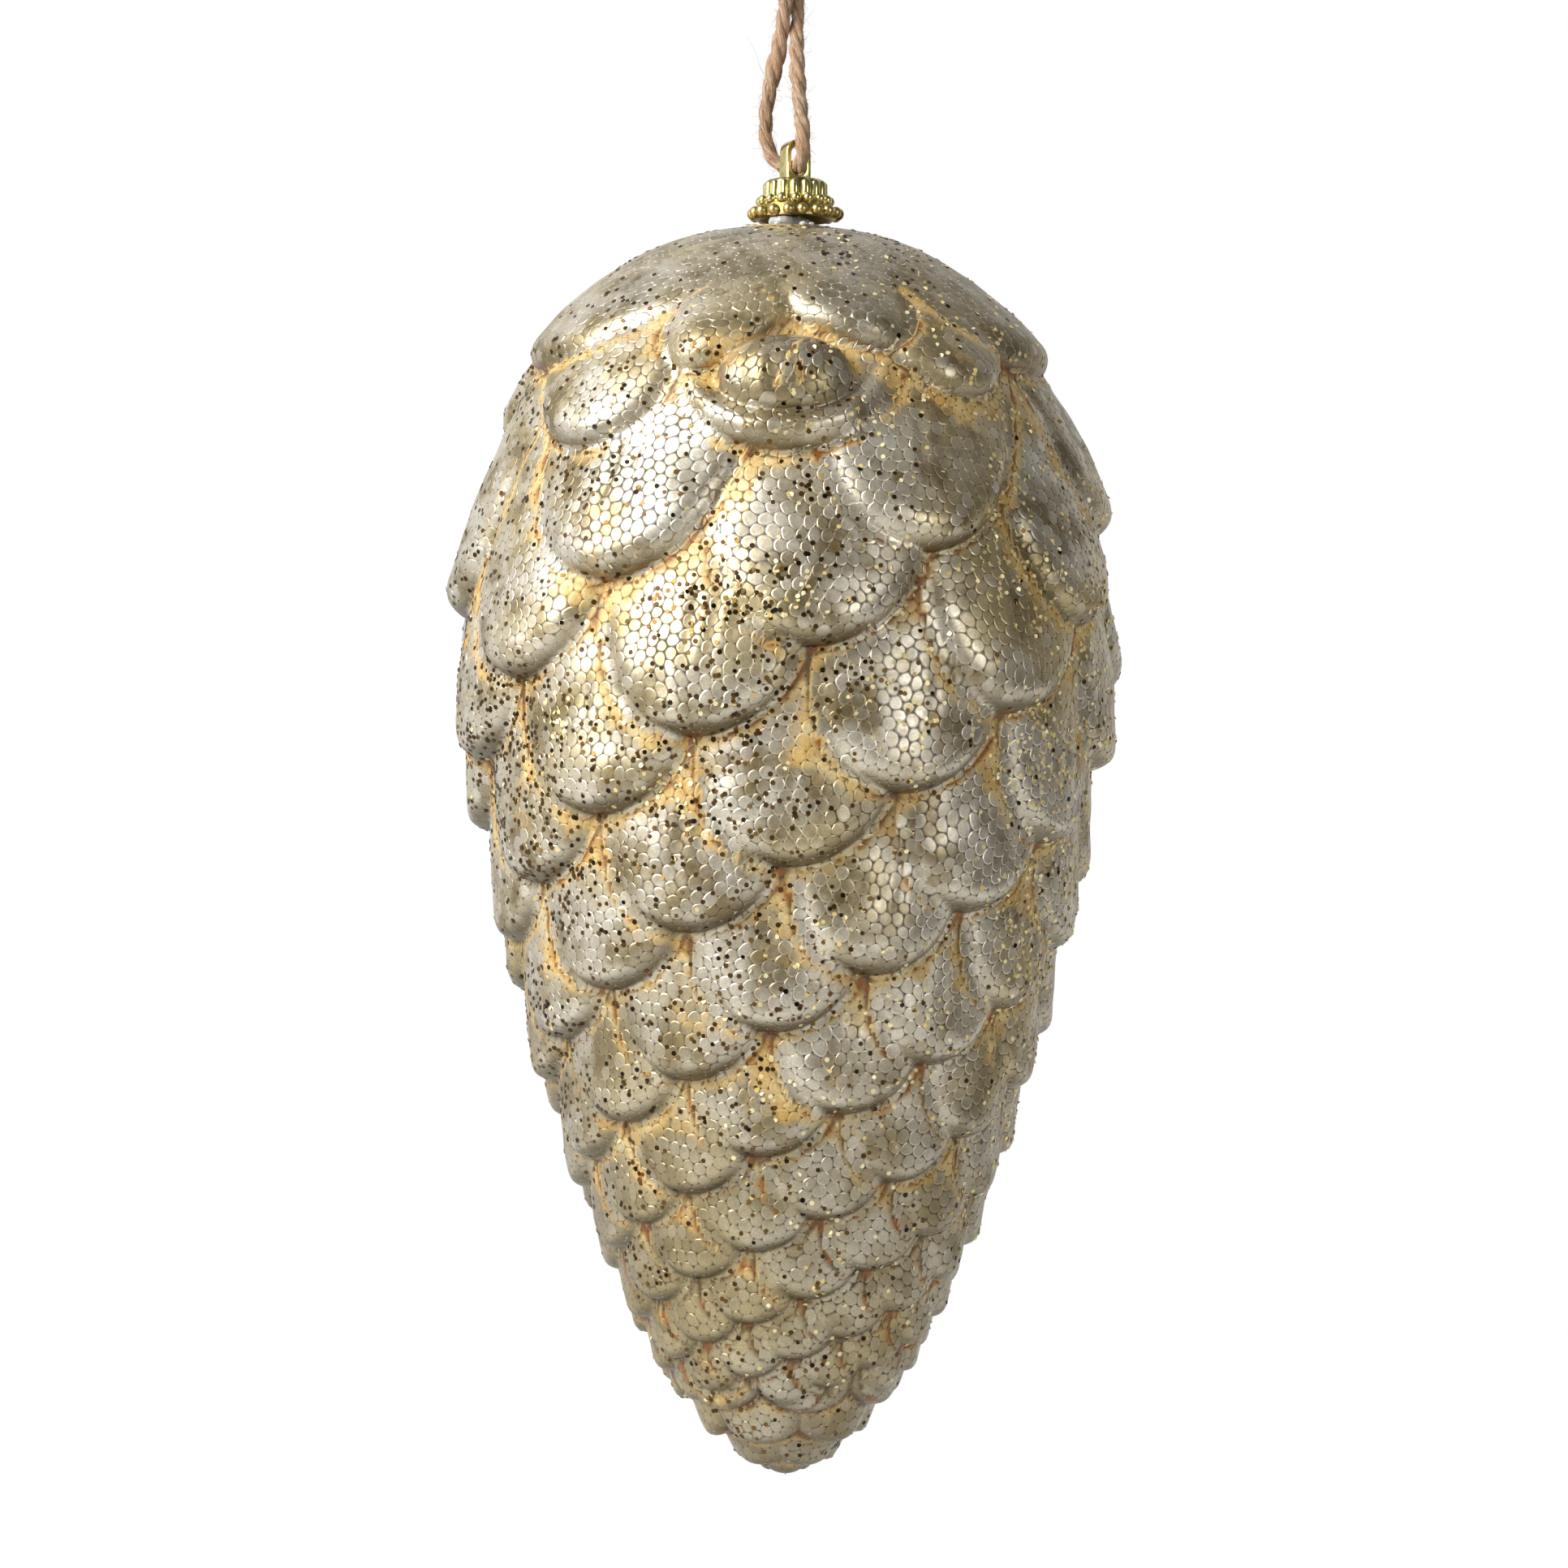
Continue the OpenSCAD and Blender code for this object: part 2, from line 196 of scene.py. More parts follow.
def smooth_path(points, step):
    """Points at even steps along a smooth curve through the route, with the distance travelled to each."""
    p = np.vstack([2 * points[0] - points[1], points, 2 * points[-1] - points[-2]])
    t = np.linspace(0, 1, 24, endpoint=False)[:, None]
    fine = []
    for a, b, c, d in zip(p[:-3], p[1:-2], p[2:-1], p[3:]):
        fine.append(0.5 * (2 * b + (c - a) * t + (2 * a - 5 * b + 4 * c - d) * t ** 2
                           + (3 * b - a - 3 * c + d) * t ** 3))
    fine = np.vstack(fine + [points[-1:]])
    travelled = np.concatenate([[0], np.cumsum(np.linalg.norm(np.diff(fine, axis=0), axis=1))])
    count = int(travelled[-1] / step)
    at = np.linspace(0, travelled[-1], count + 1)
    path = np.column_stack([np.interp(at, travelled, fine[:, k]) for k in range(3)])
    return path, at


def frames_along(path):
    """A side and an up vector at each point, turned as little as possible from one to the next."""
    heading = np.gradient(path, axis=0)
    heading /= np.linalg.norm(heading, axis=1)[:, None]
    side = np.empty_like(path)
    start = np.cross(heading[0], [0.3, 0.9, 0.1])
    side[0] = start / np.linalg.norm(start)
    for k in range(1, len(path)):
        turned = side[k - 1] - heading[k] * (side[k - 1] @ heading[k])
        side[k] = turned / np.linalg.norm(turned)
    return side, np.cross(heading, side)


def tube_points(path, side, up, radii, sides):
    """A ring of points round each point of a path, at the given radii."""
    angle = np.linspace(0, 2 * np.pi, sides + 1)
    right = np.cos(angle)[None, :, None] * side[:, None, :]
    above = np.sin(angle)[None, :, None] * up[:, None, :]
    return path[:, None, :] + (right + above) * radii


twine_path, twine_at = smooth_path(twine_route, 0.4 * MM)
print("twine: length", round(twine_at[-1] * 1000, 1), "mm,", len(twine_path), "rings")

# %% Three plies round the route
PLY_PITCH = -14.5 * MM
PLY_OFFSET = 0.68 * MM
PLY_RADIUS = 0.82 * MM
PLY_SIDES = 12
PLY_LUMPS, YARN_RELIEF, FUZZ = 0.07, 0.08, 0.025
YARNS, YARN_TWIST = 5, 14


def lay_plies(name, lines, seed=3):
    """One mesh of three plies round each path, each ply a lumpy tube that winds round it."""
    rng = np.random.default_rng(seed)
    bm = bmesh.new()
    for path, at, thickness in lines:
        side, up = frames_along(path)
        for ply in range(3):
            turn = 2 * np.pi * (at / PLY_PITCH + ply / 3)
            centre = path + (PLY_OFFSET * thickness)[:, None] * (
                np.cos(turn)[:, None] * side + np.sin(turn)[:, None] * up)
            ply_side, ply_up = frames_along(centre)
            slow = np.interp(at, np.linspace(0, at[-1], 40), rng.normal(0, PLY_LUMPS, 40))
            angle = np.linspace(0, 2 * np.pi, PLY_SIDES + 1)
            twisted = YARNS * angle[None, :] + at[:, None] / PLY_PITCH * YARN_TWIST + ply
            yarns = YARN_RELIEF * np.sin(twisted)
            rough = rng.normal(0, FUZZ, yarns.shape)
            rough[:, -1] = rough[:, 0]
            radii = PLY_RADIUS * thickness[:, None] * (1 + slow[:, None] + yarns + rough)
            points = tube_points(centre, ply_side, ply_up, radii[:, :, None], PLY_SIDES)
            mesh, _, _ = bend_grid("ply", PLY_SIDES, len(path) - 1, points)
            weld(mesh)
            flat = np.empty(len(mesh.loops) * 2)
            mesh.uv_layers.active.data.foreach_get("uv", flat)
            flat = flat.reshape(-1, 2) * (2 * np.pi * PLY_RADIUS, at[-1])
            mesh.uv_layers.active.data.foreach_set("uv", flat.ravel())
            bm.from_mesh(mesh)
            bpy.data.meshes.remove(mesh)
    return to_mesh(name, bm)


BULGE_AT, BULGE, BULGE_REACH = (-3.1 * MM, -52.5 * MM), 0.2, 5 * MM
WAVER, WAVER_LENGTH = 0.05, 9 * MM
from_bulge = np.hypot(twine_path[:, 0] - BULGE_AT[0], twine_path[:, 2] - BULGE_AT[1])
twine_thickness = 1 + BULGE * np.exp(-(from_bulge / BULGE_REACH) ** 2)
twine_thickness += WAVER * np.sin(twine_at / WAVER_LENGTH)
twine_mesh = lay_plies("twine", [(twine_path, twine_at, twine_thickness)])
print("twine: faces", len(twine_mesh.polygons))

# %% [markdown]
# ### Knot and loose fibres
# Above the cap the two strands are tied in an overhand knot, below the hanging loop. From outside
# such a knot is two turns of the doubled twine, held by one turn that crosses them. Jute also
# sheds fibres: short ones all along, and a few long ones that curl away from the strands.

# %% Knot
KNOT_TOP, KNOT_FOOT = -28.6 * MM, -36.4 * MM
KNOT_R = 2.9 * MM


def knot_turn(start, turns, low, high, radius):
    """A path that swells out of the strands, goes round the knot and sinks in again."""
    t = np.linspace(0, 1, 40)
    angle = start + 2 * np.pi * turns * t
    out = radius * (0.35 + 0.65 * np.sin(np.pi * t) ** 0.5)
    line = np.column_stack([out * np.cos(angle), out * np.sin(angle), low + (high - low) * t])
    path, at = smooth_path(line, 0.35 * MM)
    return path, at, np.ones(len(at))


knot_mesh = lay_plies("knot", [
    knot_turn(-2.6, 1.05, KNOT_FOOT + 0.6 * MM, KNOT_TOP - 0.6 * MM, KNOT_R),
    knot_turn(0.5, 1.05, KNOT_FOOT + 0.6 * MM, KNOT_TOP - 0.6 * MM, KNOT_R),
    knot_turn(0.4, -0.8, KNOT_TOP - 2.4 * MM, KNOT_FOOT + 2.2 * MM, KNOT_R * 1.08),
], seed=7)
print("knot: faces", len(knot_mesh.polygons))

# %% Loose fibres
FIBRE_D = 0.09 * MM
SHORT_FIBRES, SHORTEST, LONGEST = 2600, 0.6, 2.0
TWINE_SKIN_R = 1.15 * MM
long_fibres = [
    [(-3.6, 1, -54.6), (-5, 0.4, -54.2), (-6.2, -0.2, -52.2), (-7, -0.6, -49.8), (-8, -0.8, -47.6),
     (-9, -1, -46)],
    [(1.8, -2.6, -48.8), (2.8, -3, -49.6), (3.8, -3, -49.9), (4.3, -2.8, -49.3), (3.9, -2.6, -48.8)],
    [(-2.2, -1, -44.6), (-0.8, -2.2, -43.4), (0.8, -2.4, -42.4), (2.6, -2.2, -42.6), (4.2, -1.4, -44)],
    [(-3.2, 0.6, -58.8), (-2.6, -0.6, -59.3), (-1.8, -1, -59.2), (-1.7, -0.8, -58.4), (-2.3, -0.6, -58.2)],
    [(4.9, -1, -2), (6.8, -2, -0.6), (8, -2.2, 1), (7.9, -1.8, 2.2)],
    [(-6.6, -1, -12), (-8.4, -1.6, -13.6), (-9.2, -1.4, -15.8), (-8.7, -1, -17.4)],
]


def fibre_mesh(name, lines):
    """Thin tapering tubes along the lines, made as a curve and turned into one mesh."""
    curve = bpy.data.curves.new(name, "CURVE")
    curve.dimensions = "3D"
    curve.bevel_depth = FIBRE_D / 2
    curve.bevel_resolution = 0
    curve.use_fill_caps = True
    for line in lines:
        spline = curve.splines.new("POLY")
        spline.points.add(len(line) - 1)
        for k, place in enumerate(line):
            spline.points[k].co = (*place, 1)
            spline.points[k].radius = 1 - 0.65 * k / (len(line) - 1)
    return curve_mesh(name, curve)


def loose_fibres():
    """The long fibres, and short ones that lie along the twine's skin and curl off it."""
    rng = np.random.default_rng(21)
    side, up = frames_along(twine_path)
    heading = np.gradient(twine_path, axis=0)
    heading /= np.linalg.norm(heading, axis=1)[:, None]
    lines = [smooth_path(np.array(line) * MM, 0.3 * MM)[0] for line in long_fibres]
    t = np.linspace(0, 1, 6)[:, None]
    for k in rng.integers(3, len(twine_path) - 3, SHORT_FIBRES):
        angle = rng.uniform(0, 2 * np.pi)
        out = math.cos(angle) * side[k] + math.sin(angle) * up[k]
        along = heading[k] * rng.choice((-1, 1)) * rng.uniform(0.6, 1.6)
        reach = along + out * rng.uniform(0.05, 0.35) + rng.normal(0, 0.2, 3)
        curl = rng.normal(0, 0.6, 3) - out * 0.2
        length = rng.uniform(SHORTEST, LONGEST) * MM
        start = twine_path[k] + out * TWINE_SKIN_R
        lines.append(start + length * (reach * t + curl * t ** 2))
    return fibre_mesh("twine_fibres", lines)


fibres_mesh = loose_fibres()
print("fibres: faces", len(fibres_mesh.polygons))

# %% [markdown]
# ## The cone's surface
# The moulded body is a smooth profile turned about the axis, with overlapping scales raised on
# it along two families of spirals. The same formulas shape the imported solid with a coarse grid.
# Here a grid of about a hundred thousand faces carries them, with tighter rolled edges, faint
# ribs and soft dents.

# %% Profile of the foam under the scales
BASE_R = 62 * MM
WIDEST = 162 * MM
CONE_H = 251.7 * MM
NOSE_POWER, NOSE_ROOT = 1.2, 1.8
CROWN_POWER, CROWN_ROOT = 1.95, 2.6
SEAT_R = 10.5 * MM
SOCKET_R = 2.35 * MM
CAP_SHIFT = 2 * MM
CONE_X = -1 * MM
TIP_Z = SEAT_Z - CONE_H

nose_angle = np.radians(np.arange(90, -0.1, -1.5))
crown_angle = np.radians(np.arange(1.5, 90.1, 1.5))
profile_r = BASE_R * np.concatenate([np.cos(nose_angle) ** (2 / NOSE_ROOT),
                                     np.abs(np.cos(crown_angle)) ** (2 / CROWN_ROOT)])
profile_z = np.concatenate([WIDEST * (1 - np.sin(nose_angle) ** (2 / NOSE_POWER)),
                            WIDEST + (CONE_H - WIDEST) * np.sin(crown_angle) ** (2 / CROWN_POWER)])
profile_s = np.concatenate([[0], np.cumsum(np.hypot(np.diff(profile_r), np.diff(profile_z)))])
GIRTH = profile_s[-1]


def radius_at(s):
    return np.interp(s, profile_s, profile_r)


def height_at(s):
    return np.interp(s, profile_s, profile_z)


def travel_at(z):
    return float(np.interp(z, profile_z, profile_s))


def normal_at(s):
    dr = radius_at(s + MM) - radius_at(s - MM)
    dz = height_at(s + MM) - height_at(s - MM)
    length = np.hypot(dr, dz)
    return dz / length, -dr / length


print("cone: girth from tip to seat", round(GIRTH * 1000, 1), "mm")

# %% [markdown]
# ### Scales
# A scale is its azimuth, the travel of its tip along the profile, half its width, the depth of
# its rounded edge, its lean, its rise and the length of it that shows. Regular scales follow the
# spirals, four small rings close the tip, and the crown has a few large ones listed one by one.

# %% Places of the scales
ROWS_RIGHT, ROWS_LEFT = 12, 7
ROW_TURN = 20.25
CROSS_TURN = (360 - ROWS_RIGHT * ROW_TURN) / ROWS_LEFT
FIRST_AZIMUTH = 0.8
SHRINK, SPIRAL_START, SPIRAL_REACH = 0.088, -0.048, 0.509
TOP_STEP, SPIRALS_END = -4, 24 * MM
RIM_SHARE, LEAN, SHOWN_SHARE = 0.22, 0.12, 0.42
SCALE_HALF_TURN = math.radians(19.2)
LIP_RISE, TIP_LIP_RISE = 8.4 * MM, 2.8 * MM
# Rings at the tip: how many, height, half width, depth of the edge and first azimuth
tip_rings = [[7, 14, 10.5, 5, 12], [6, 7, 9.5, 4, -20], [5, 2, 8, 3, 30], [3, 0.2, 6, 3, 0]]
# Crown: azimuth, depth under the seat, half width, depth of the edge, lean and hollow
crown_list = [
    [0, 51.5, 21.5, 9.5, 0, 0.75], [-19.5, 35.5, 12.5, 10, 0.35, 0], [20.5, 31, 14, 9.5, -0.42, 0],
    [-40, 50, 18, 9.5, -0.15, 0], [38.5, 40, 16, 9, 0.05, 0], [-64, 32, 26, 6, 0.1, 0],
    [71, 33, 26, 6, 0, 0], [112, 44, 19, 10, 0.1, 0], [146, 35, 24, 7, 0.1, 0],
    [-178, 47, 20, 9, 0.1, 0], [-142, 36, 24, 7, 0.1, 0], [-108, 45, 19, 10, 0.1, 0],
]


def new_scale(azimuth, s, half_w, rim, lean, hollow=0.0):
    r = float(radius_at(s))
    rise = TIP_LIP_RISE + (LIP_RISE - TIP_LIP_RISE) * r / BASE_R
    return {"azimuth": azimuth, "s": s, "half_w": half_w, "rim": rim, "lean": lean,
            "rise": rise, "shown": SHOWN_SHARE * r + 3 * MM, "hollow": hollow,
            "ribbed": 0.5 + 0.5 * math.sin(azimuth * 0.11 + s * 90)}


def place_scales():
    """All scales: the spirals' steps first, then the rings at the tip and the crown."""
    found = []
    for i in range(-20, 31):
        for j in range(-20, 21):
            step = i + ROWS_RIGHT / ROWS_LEFT * j
            azimuth = FIRST_AZIMUTH - ROW_TURN * i + CROSS_TURN * j
            s = GIRTH * (SPIRAL_START + SPIRAL_REACH * math.exp(-SHRINK * step))
            if step >= TOP_STEP and s >= SPIRALS_END and -180 <= azimuth < 180:
                r = float(radius_at(s))
                found.append(new_scale(azimuth, s, SCALE_HALF_TURN * r + MM, RIM_SHARE * r, LEAN))
    for count, height, half_w, rim, azimuth in tip_rings:
        for k in range(count):
            s = travel_at(height * MM)
            found.append(new_scale(azimuth + 360 / count * k, s, half_w * MM, rim * MM, 0))
    for azimuth, depth, half_w, rim, lean, hollow in crown_list:
        s = travel_at(CONE_H - depth * MM)
        found.append(new_scale(azimuth, s, half_w * MM, rim * MM, lean, hollow))
    return found


scales = place_scales()
print("cone:", len(scales), "scales")

# %% [markdown]
# ### Raising the scales
# Every point of the surface takes the highest scale over it, joined softly. It also remembers
# how far it lies above its own scale's edge and below the edges of the scales that cover it.
# The paint reads these distances, because the wash gathers in the creases and most of all in
# the corners between two covering scales, where a part of the second share is added.

# %% Relief of the scales
EDGE_SHARE = 0.85
SIDE_REACH, FADE_REACH = 1.3, 2.4
SOFT_JOIN = 0.4 * MM
WASH_WIDTH = 2.4 * MM
CORNER_SHARE = 0.3
SEAM_WIDTH = 0.5 * MM
FAR = 40 * MM


def wrap(angle):
    return (angle + 180) % 360 - 180


def soft_max(a, b, width):
    mix = np.clip(0.5 + 0.5 * (a - b) / width, 0, 1)
    return b + (a - b) * mix + width * mix * (1 - mix)


def scale_over(scale, azimuth, s, r):
    """Height of one scale and distance inside its edge, over a patch of the surface.

    The last two values say how far a point of the rounded edge lies from its place on a flat map,
    across and along, because the edge is longer than its shadow on the profile.
    """
    v = s - scale["s"]
    turn = wrap(azimuth - scale["azimuth"])
    x = (np.radians(turn) * r - scale["lean"] * v) / scale["half_w"]
    over = np.abs(x) < SIDE_REACH
    x = np.clip(x, -SIDE_REACH, SIDE_REACH)
    rim = scale["rim"] * (x ** 2 + 0.6 * x ** 8)
    slope = scale["rim"] / scale["half_w"] * (2 * x + 4.8 * x ** 7)
    inside = (v - rim) / np.sqrt(1 + slope ** 2)
    edge_width = EDGE_SHARE * scale["rise"]
    e = np.clip(inside / edge_width, 0, 1)
    q = (v - edge_width / 2) / scale["shown"]
    fade = 0.4 * np.maximum((FADE_REACH - q) / (FADE_REACH - 1), 0)
    fall = np.where(q < 1, 1 - 0.6 * np.maximum(q, 0), fade)
    dish = 1 - scale["hollow"] * np.clip(inside / edge_width - 0.7, 0, 1)
    across = 1 - 0.42 * np.minimum(x ** 2, 1.21)
    height = scale["rise"] * np.sqrt(1 - (1 - e) ** 2) * fall * dish * across
    spare = edge_width * (np.arccos(1 - e) - e - (np.pi / 2 - 1))
    slide = spare / np.sqrt(1 + slope ** 2)
    return np.where(over, height, 0), np.where(over, inside, -FAR), x, -slope * slide, slide


def raise_scales(azimuth, s):
    """Relief over the whole grid of azimuths and travels, with what the paint needs to know."""
    shape = (len(s), len(azimuth))
    r = radius_at(s)
    found = {"height": np.zeros(shape), "top": np.zeros(shape), "owner": np.full(shape, -1),
             "inside": np.full(shape, FAR), "across": np.zeros(shape), "along": np.zeros(shape),
             "slide_across": np.zeros(shape), "slide_along": np.zeros(shape)}
    laid = []
    for number, scale in enumerate(scales):
        rows = np.where((s > scale["s"] - 24 * MM) & (s < scale["s"] + FADE_REACH * scale["shown"]))[0]
        reach = SIDE_REACH * scale["half_w"] + abs(scale["lean"]) * FADE_REACH * scale["shown"]
        widest_turn = math.degrees(reach / max(r[rows].min(), MM))
        columns = np.where(np.abs(wrap(azimuth - scale["azimuth"])) < min(widest_turn, 180))[0]
        patch = np.ix_(rows, columns)
        h, inside, x, slide_x, slide_v = scale_over(
            scale, azimuth[columns][None, :], s[rows][:, None], r[rows][:, None])
        laid.append((patch, inside, x))
        found["height"][patch] = soft_max(found["height"][patch], h, SOFT_JOIN)
        along = np.broadcast_to((s[rows] - scale["s"])[:, None] / scale["shown"], h.shape)
        wins = h > found["top"][patch]
        for name, values in (("top", h), ("owner", number), ("inside", inside),
                             ("across", x * scale["half_w"]), ("along", along),
                             ("slide_across", slide_x), ("slide_along", slide_v)):
            found[name][patch] = np.where(wins, values, found[name][patch])
    own_start = np.array([scale["s"] for scale in scales] + [0.0])[found["owner"]]
    found["below"] = np.full(shape, FAR)
    found["wash"] = np.zeros(shape)
    for scale, (patch, inside, x) in zip(scales, laid):
        covers = (own_start[patch] < scale["s"] - 1 * MM) & (inside < 0) & (np.abs(x) < 1.2)
        width = WASH_WIDTH * math.sqrt(scale["rise"] / LIP_RISE)
        nearest = np.minimum(found["below"][patch], -inside)
        found["below"][patch] = np.where(covers, nearest, found["below"][patch])
        near, most = np.where(covers, np.exp(inside / width), 0), found["wash"][patch]
        found["wash"][patch] = np.maximum(near, most) + CORNER_SHARE * np.minimum(near, most)
    return found


# %% [markdown]
# ### Small forms, coats and painted light
# Ribs and dents of the moulding are added to the scales, and the knob stands in the front crown
# scale. The olive on the knob, olive painted shade on the crown's right and lighter silver painted
# as light on the upper left are worked out here too, from the real places.

# %% Ribs, dents, knob, coats and painted light
KNOB_HALF_W, KNOB_HALF_H, KNOB_RISE = 12.5 * MM, 8.3 * MM, 9 * MM
KNOB_S = travel_at(CONE_H - 36.5 * MM)
RIB_PITCH, RIB_RISE, KNOB_RIB_RISE = 4.0 * MM, 0.3 * MM, 0.18 * MM
RIBBED_R, RIBBED_EASE = 40 * MM, 15 * MM
DENT_RISE, DENT_EASE_R = 0.4 * MM, 30 * MM
WAVELENGTHS = (60, 34, 19, 11, 7)
# Where olive painted shade lies on the crown's right, and how much olive the knob and crown get
CROWN_SHADE_FOOT, CROWN_SHADE_TOP, CROWN_SHADE_LEFT, CROWN_SHADE_RIGHT = -132 * MM, -108 * MM, -8 * MM, 34 * MM
OLIVE_ON_KNOB, OLIVE_SHADE_ON_CROWN = 0.7, 0.75
# Where lighter silver is painted as light on the upper left
LIT_SILVER_RIGHT, LIT_SILVER_LEFT, LIT_SILVER_FOOT, LIT_SILVER_TOP = -12 * MM, -46 * MM, -215 * MM, -155 * MM


def waves(places, seed):
    """A smooth random value over space, from about -1 to 1."""
    rng = np.random.default_rng(seed)
    total = np.zeros(len(places))
    for wavelength in WAVELENGTHS:
        direction = rng.normal(0, 1, (3, 3))
        direction /= np.linalg.norm(direction, axis=1)[:, None]
        phases = places @ direction.T * 2 * np.pi / (wavelength * MM) + rng.random(3) * 6
        total += np.sin(phases).sum(axis=1) / 6
    return total / 1.3


def ease(value, start, end):
    """Nothing up to the start, one from the end on, and a straight slope between them."""
    return np.clip((value - start) / (end - start), 0, 1)


def window(value, low, high, soft):
    """One between two limits, easing to nothing over a soft margin."""
    return np.clip((value - low) / soft, 0, 1) * np.clip((high - value) / soft, 0, 1)


def faint_ribs(found, r):
    """Upright ribs that the mould left on the upper middle of the larger scales."""
    big = np.clip((r[:, None] - RIBBED_R) / RIBBED_EASE, 0, 1)
    place = window(found["across"], -7 * MM, 7 * MM, 4 * MM) * window(found["along"], 0.4, 1.1, 0.25)
    ribbed = np.array([scale["ribbed"] for scale in scales] + [0.0])[found["owner"]]
    return RIB_RISE * big * ribbed * place * np.cos(2 * np.pi * found["across"] / RIB_PITCH)


def dents(azimuth, r, s):
    """Soft dents and lumps of the moulding, fading out at the tip."""
    turn = np.radians(azimuth)
    places = np.stack([np.outer(r, np.sin(turn)), np.outer(r, -np.cos(turn)),
                       np.outer(height_at(s), np.ones_like(turn))], axis=2)
    lumps = waves(places.reshape(-1, 3), 14).reshape(len(s), len(azimuth))
    return DENT_RISE * lumps * np.clip(r / DENT_EASE_R, 0, 1)[:, None]


def knob_height(azimuth, s, r):
    """The ribbed knob in the front crown scale, and the wash that gathers round its top."""
    x = np.radians(wrap(azimuth))[None, :] * r[:, None] / KNOB_HALF_W
    y = (s[:, None] - KNOB_S) / KNOB_HALF_H
    q = 1 - x ** 2 - y ** 2
    ribs = KNOB_RIB_RISE * np.cos(2 * np.pi * x * KNOB_HALF_W / RIB_PITCH)
    ribs = ribs * window(x, -0.9, 0.1, 0.3) * window(y, -1, 0.5, 0.4)
    knob = np.where(q > 0, KNOB_RISE * (0.3 + 0.7 * np.sqrt(np.maximum(q, 0))) + ribs, -5 * MM)
    beside = (np.sqrt(x ** 2 + y ** 2) - 1) * KNOB_HALF_H
    upper = ease(y, -0.7, 0.1)
    return knob, np.where(beside > 0, upper * np.exp(-beside / WASH_WIDTH), 0)


def olive_shade_and_lit_silver(points):
    """How much olive shows on the knob, with olive painted shade on the crown's right, and where lighter
    silver is painted as light on the upper left.
    """
    x, y, z = points[..., 0], points[..., 1], points[..., 2]
    knob_z = TIP_Z + height_at(KNOB_S)
    off_knob = np.hypot((x - CONE_X) / KNOB_HALF_W, (z - knob_z - 2 * MM) / (1.2 * KNOB_HALF_H))
    on_knob = ease(off_knob, 1.25, 0.9) * (y < 0)
    # Olive painted shade on the crown's right, the side that the lamp leaves darker
    shaded_crown_right = ease(z, CROWN_SHADE_FOOT, CROWN_SHADE_TOP) * ease(x, CROWN_SHADE_LEFT, CROWN_SHADE_RIGHT)
    olive_and_shade = np.maximum(OLIVE_ON_KNOB * on_knob, OLIVE_SHADE_ON_CROWN * shaded_crown_right)
    # Lighter silver painted as light on the upper left, where the lamp falls
    return olive_and_shade, ease(x, LIT_SILVER_RIGHT, LIT_SILVER_LEFT) * ease(z, LIT_SILVER_FOOT, LIT_SILVER_TOP)


# %% [markdown]
# ### The cone's mesh
# The relief is worked out on many fine rows. Each column of the grid then gets its own rows,
# close together where the surface is steep or bends, so that the rolled edges come out round.

# %% Build the body
COLUMNS, RINGS, FINE_ROWS = 372, 262, 1300
BEND_WEIGHT, SHARPEST_BEND = 2.2 * MM, 0.5
CROWN_EASE, CROWN_BEND = 45 * MM, 0.8
# How far up the crown the creases fade out, as shares of the full relief
CREASES_END, CREASES_FULL, CREASE_LIFT = 0.66, 0.86, 3 * MM
SEAT_WASH, SEAT_WASH_R, SEAT_WASH_WIDTH = 0.8, 13 * MM, 4 * MM
MAP_SPIN, MAP_SHIFT = 2.4, (0.137, 0.291)


def share_out_rows(s, ring_r, z):
    """Travels of each column's rows, shared out by the length and the bends of its outline."""
    step_r, step_z = np.diff(ring_r[:, :-1], axis=0), np.diff(z[:, :-1], axis=0)
    heading = np.unwrap(np.arctan2(step_z, step_r), axis=0)
    bend = np.abs(np.diff(heading, axis=0, prepend=heading[:1]))
    cost = np.hypot(step_r, step_z) + BEND_WEIGHT * np.minimum(bend, SHARPEST_BEND)
    for _ in range(3):
        cost = (np.roll(cost, 1, axis=1) + 2 * cost + np.roll(cost, -1, axis=1)) / 4
    spent = np.vstack([np.zeros(COLUMNS), np.cumsum(cost, axis=0)])
    travel = np.column_stack([np.interp(np.linspace(0, spent[-1, k], RINGS + 1), spent[:, k], s)
                              for k in range(COLUMNS)])
    return np.column_stack([travel, travel[:, 0]])


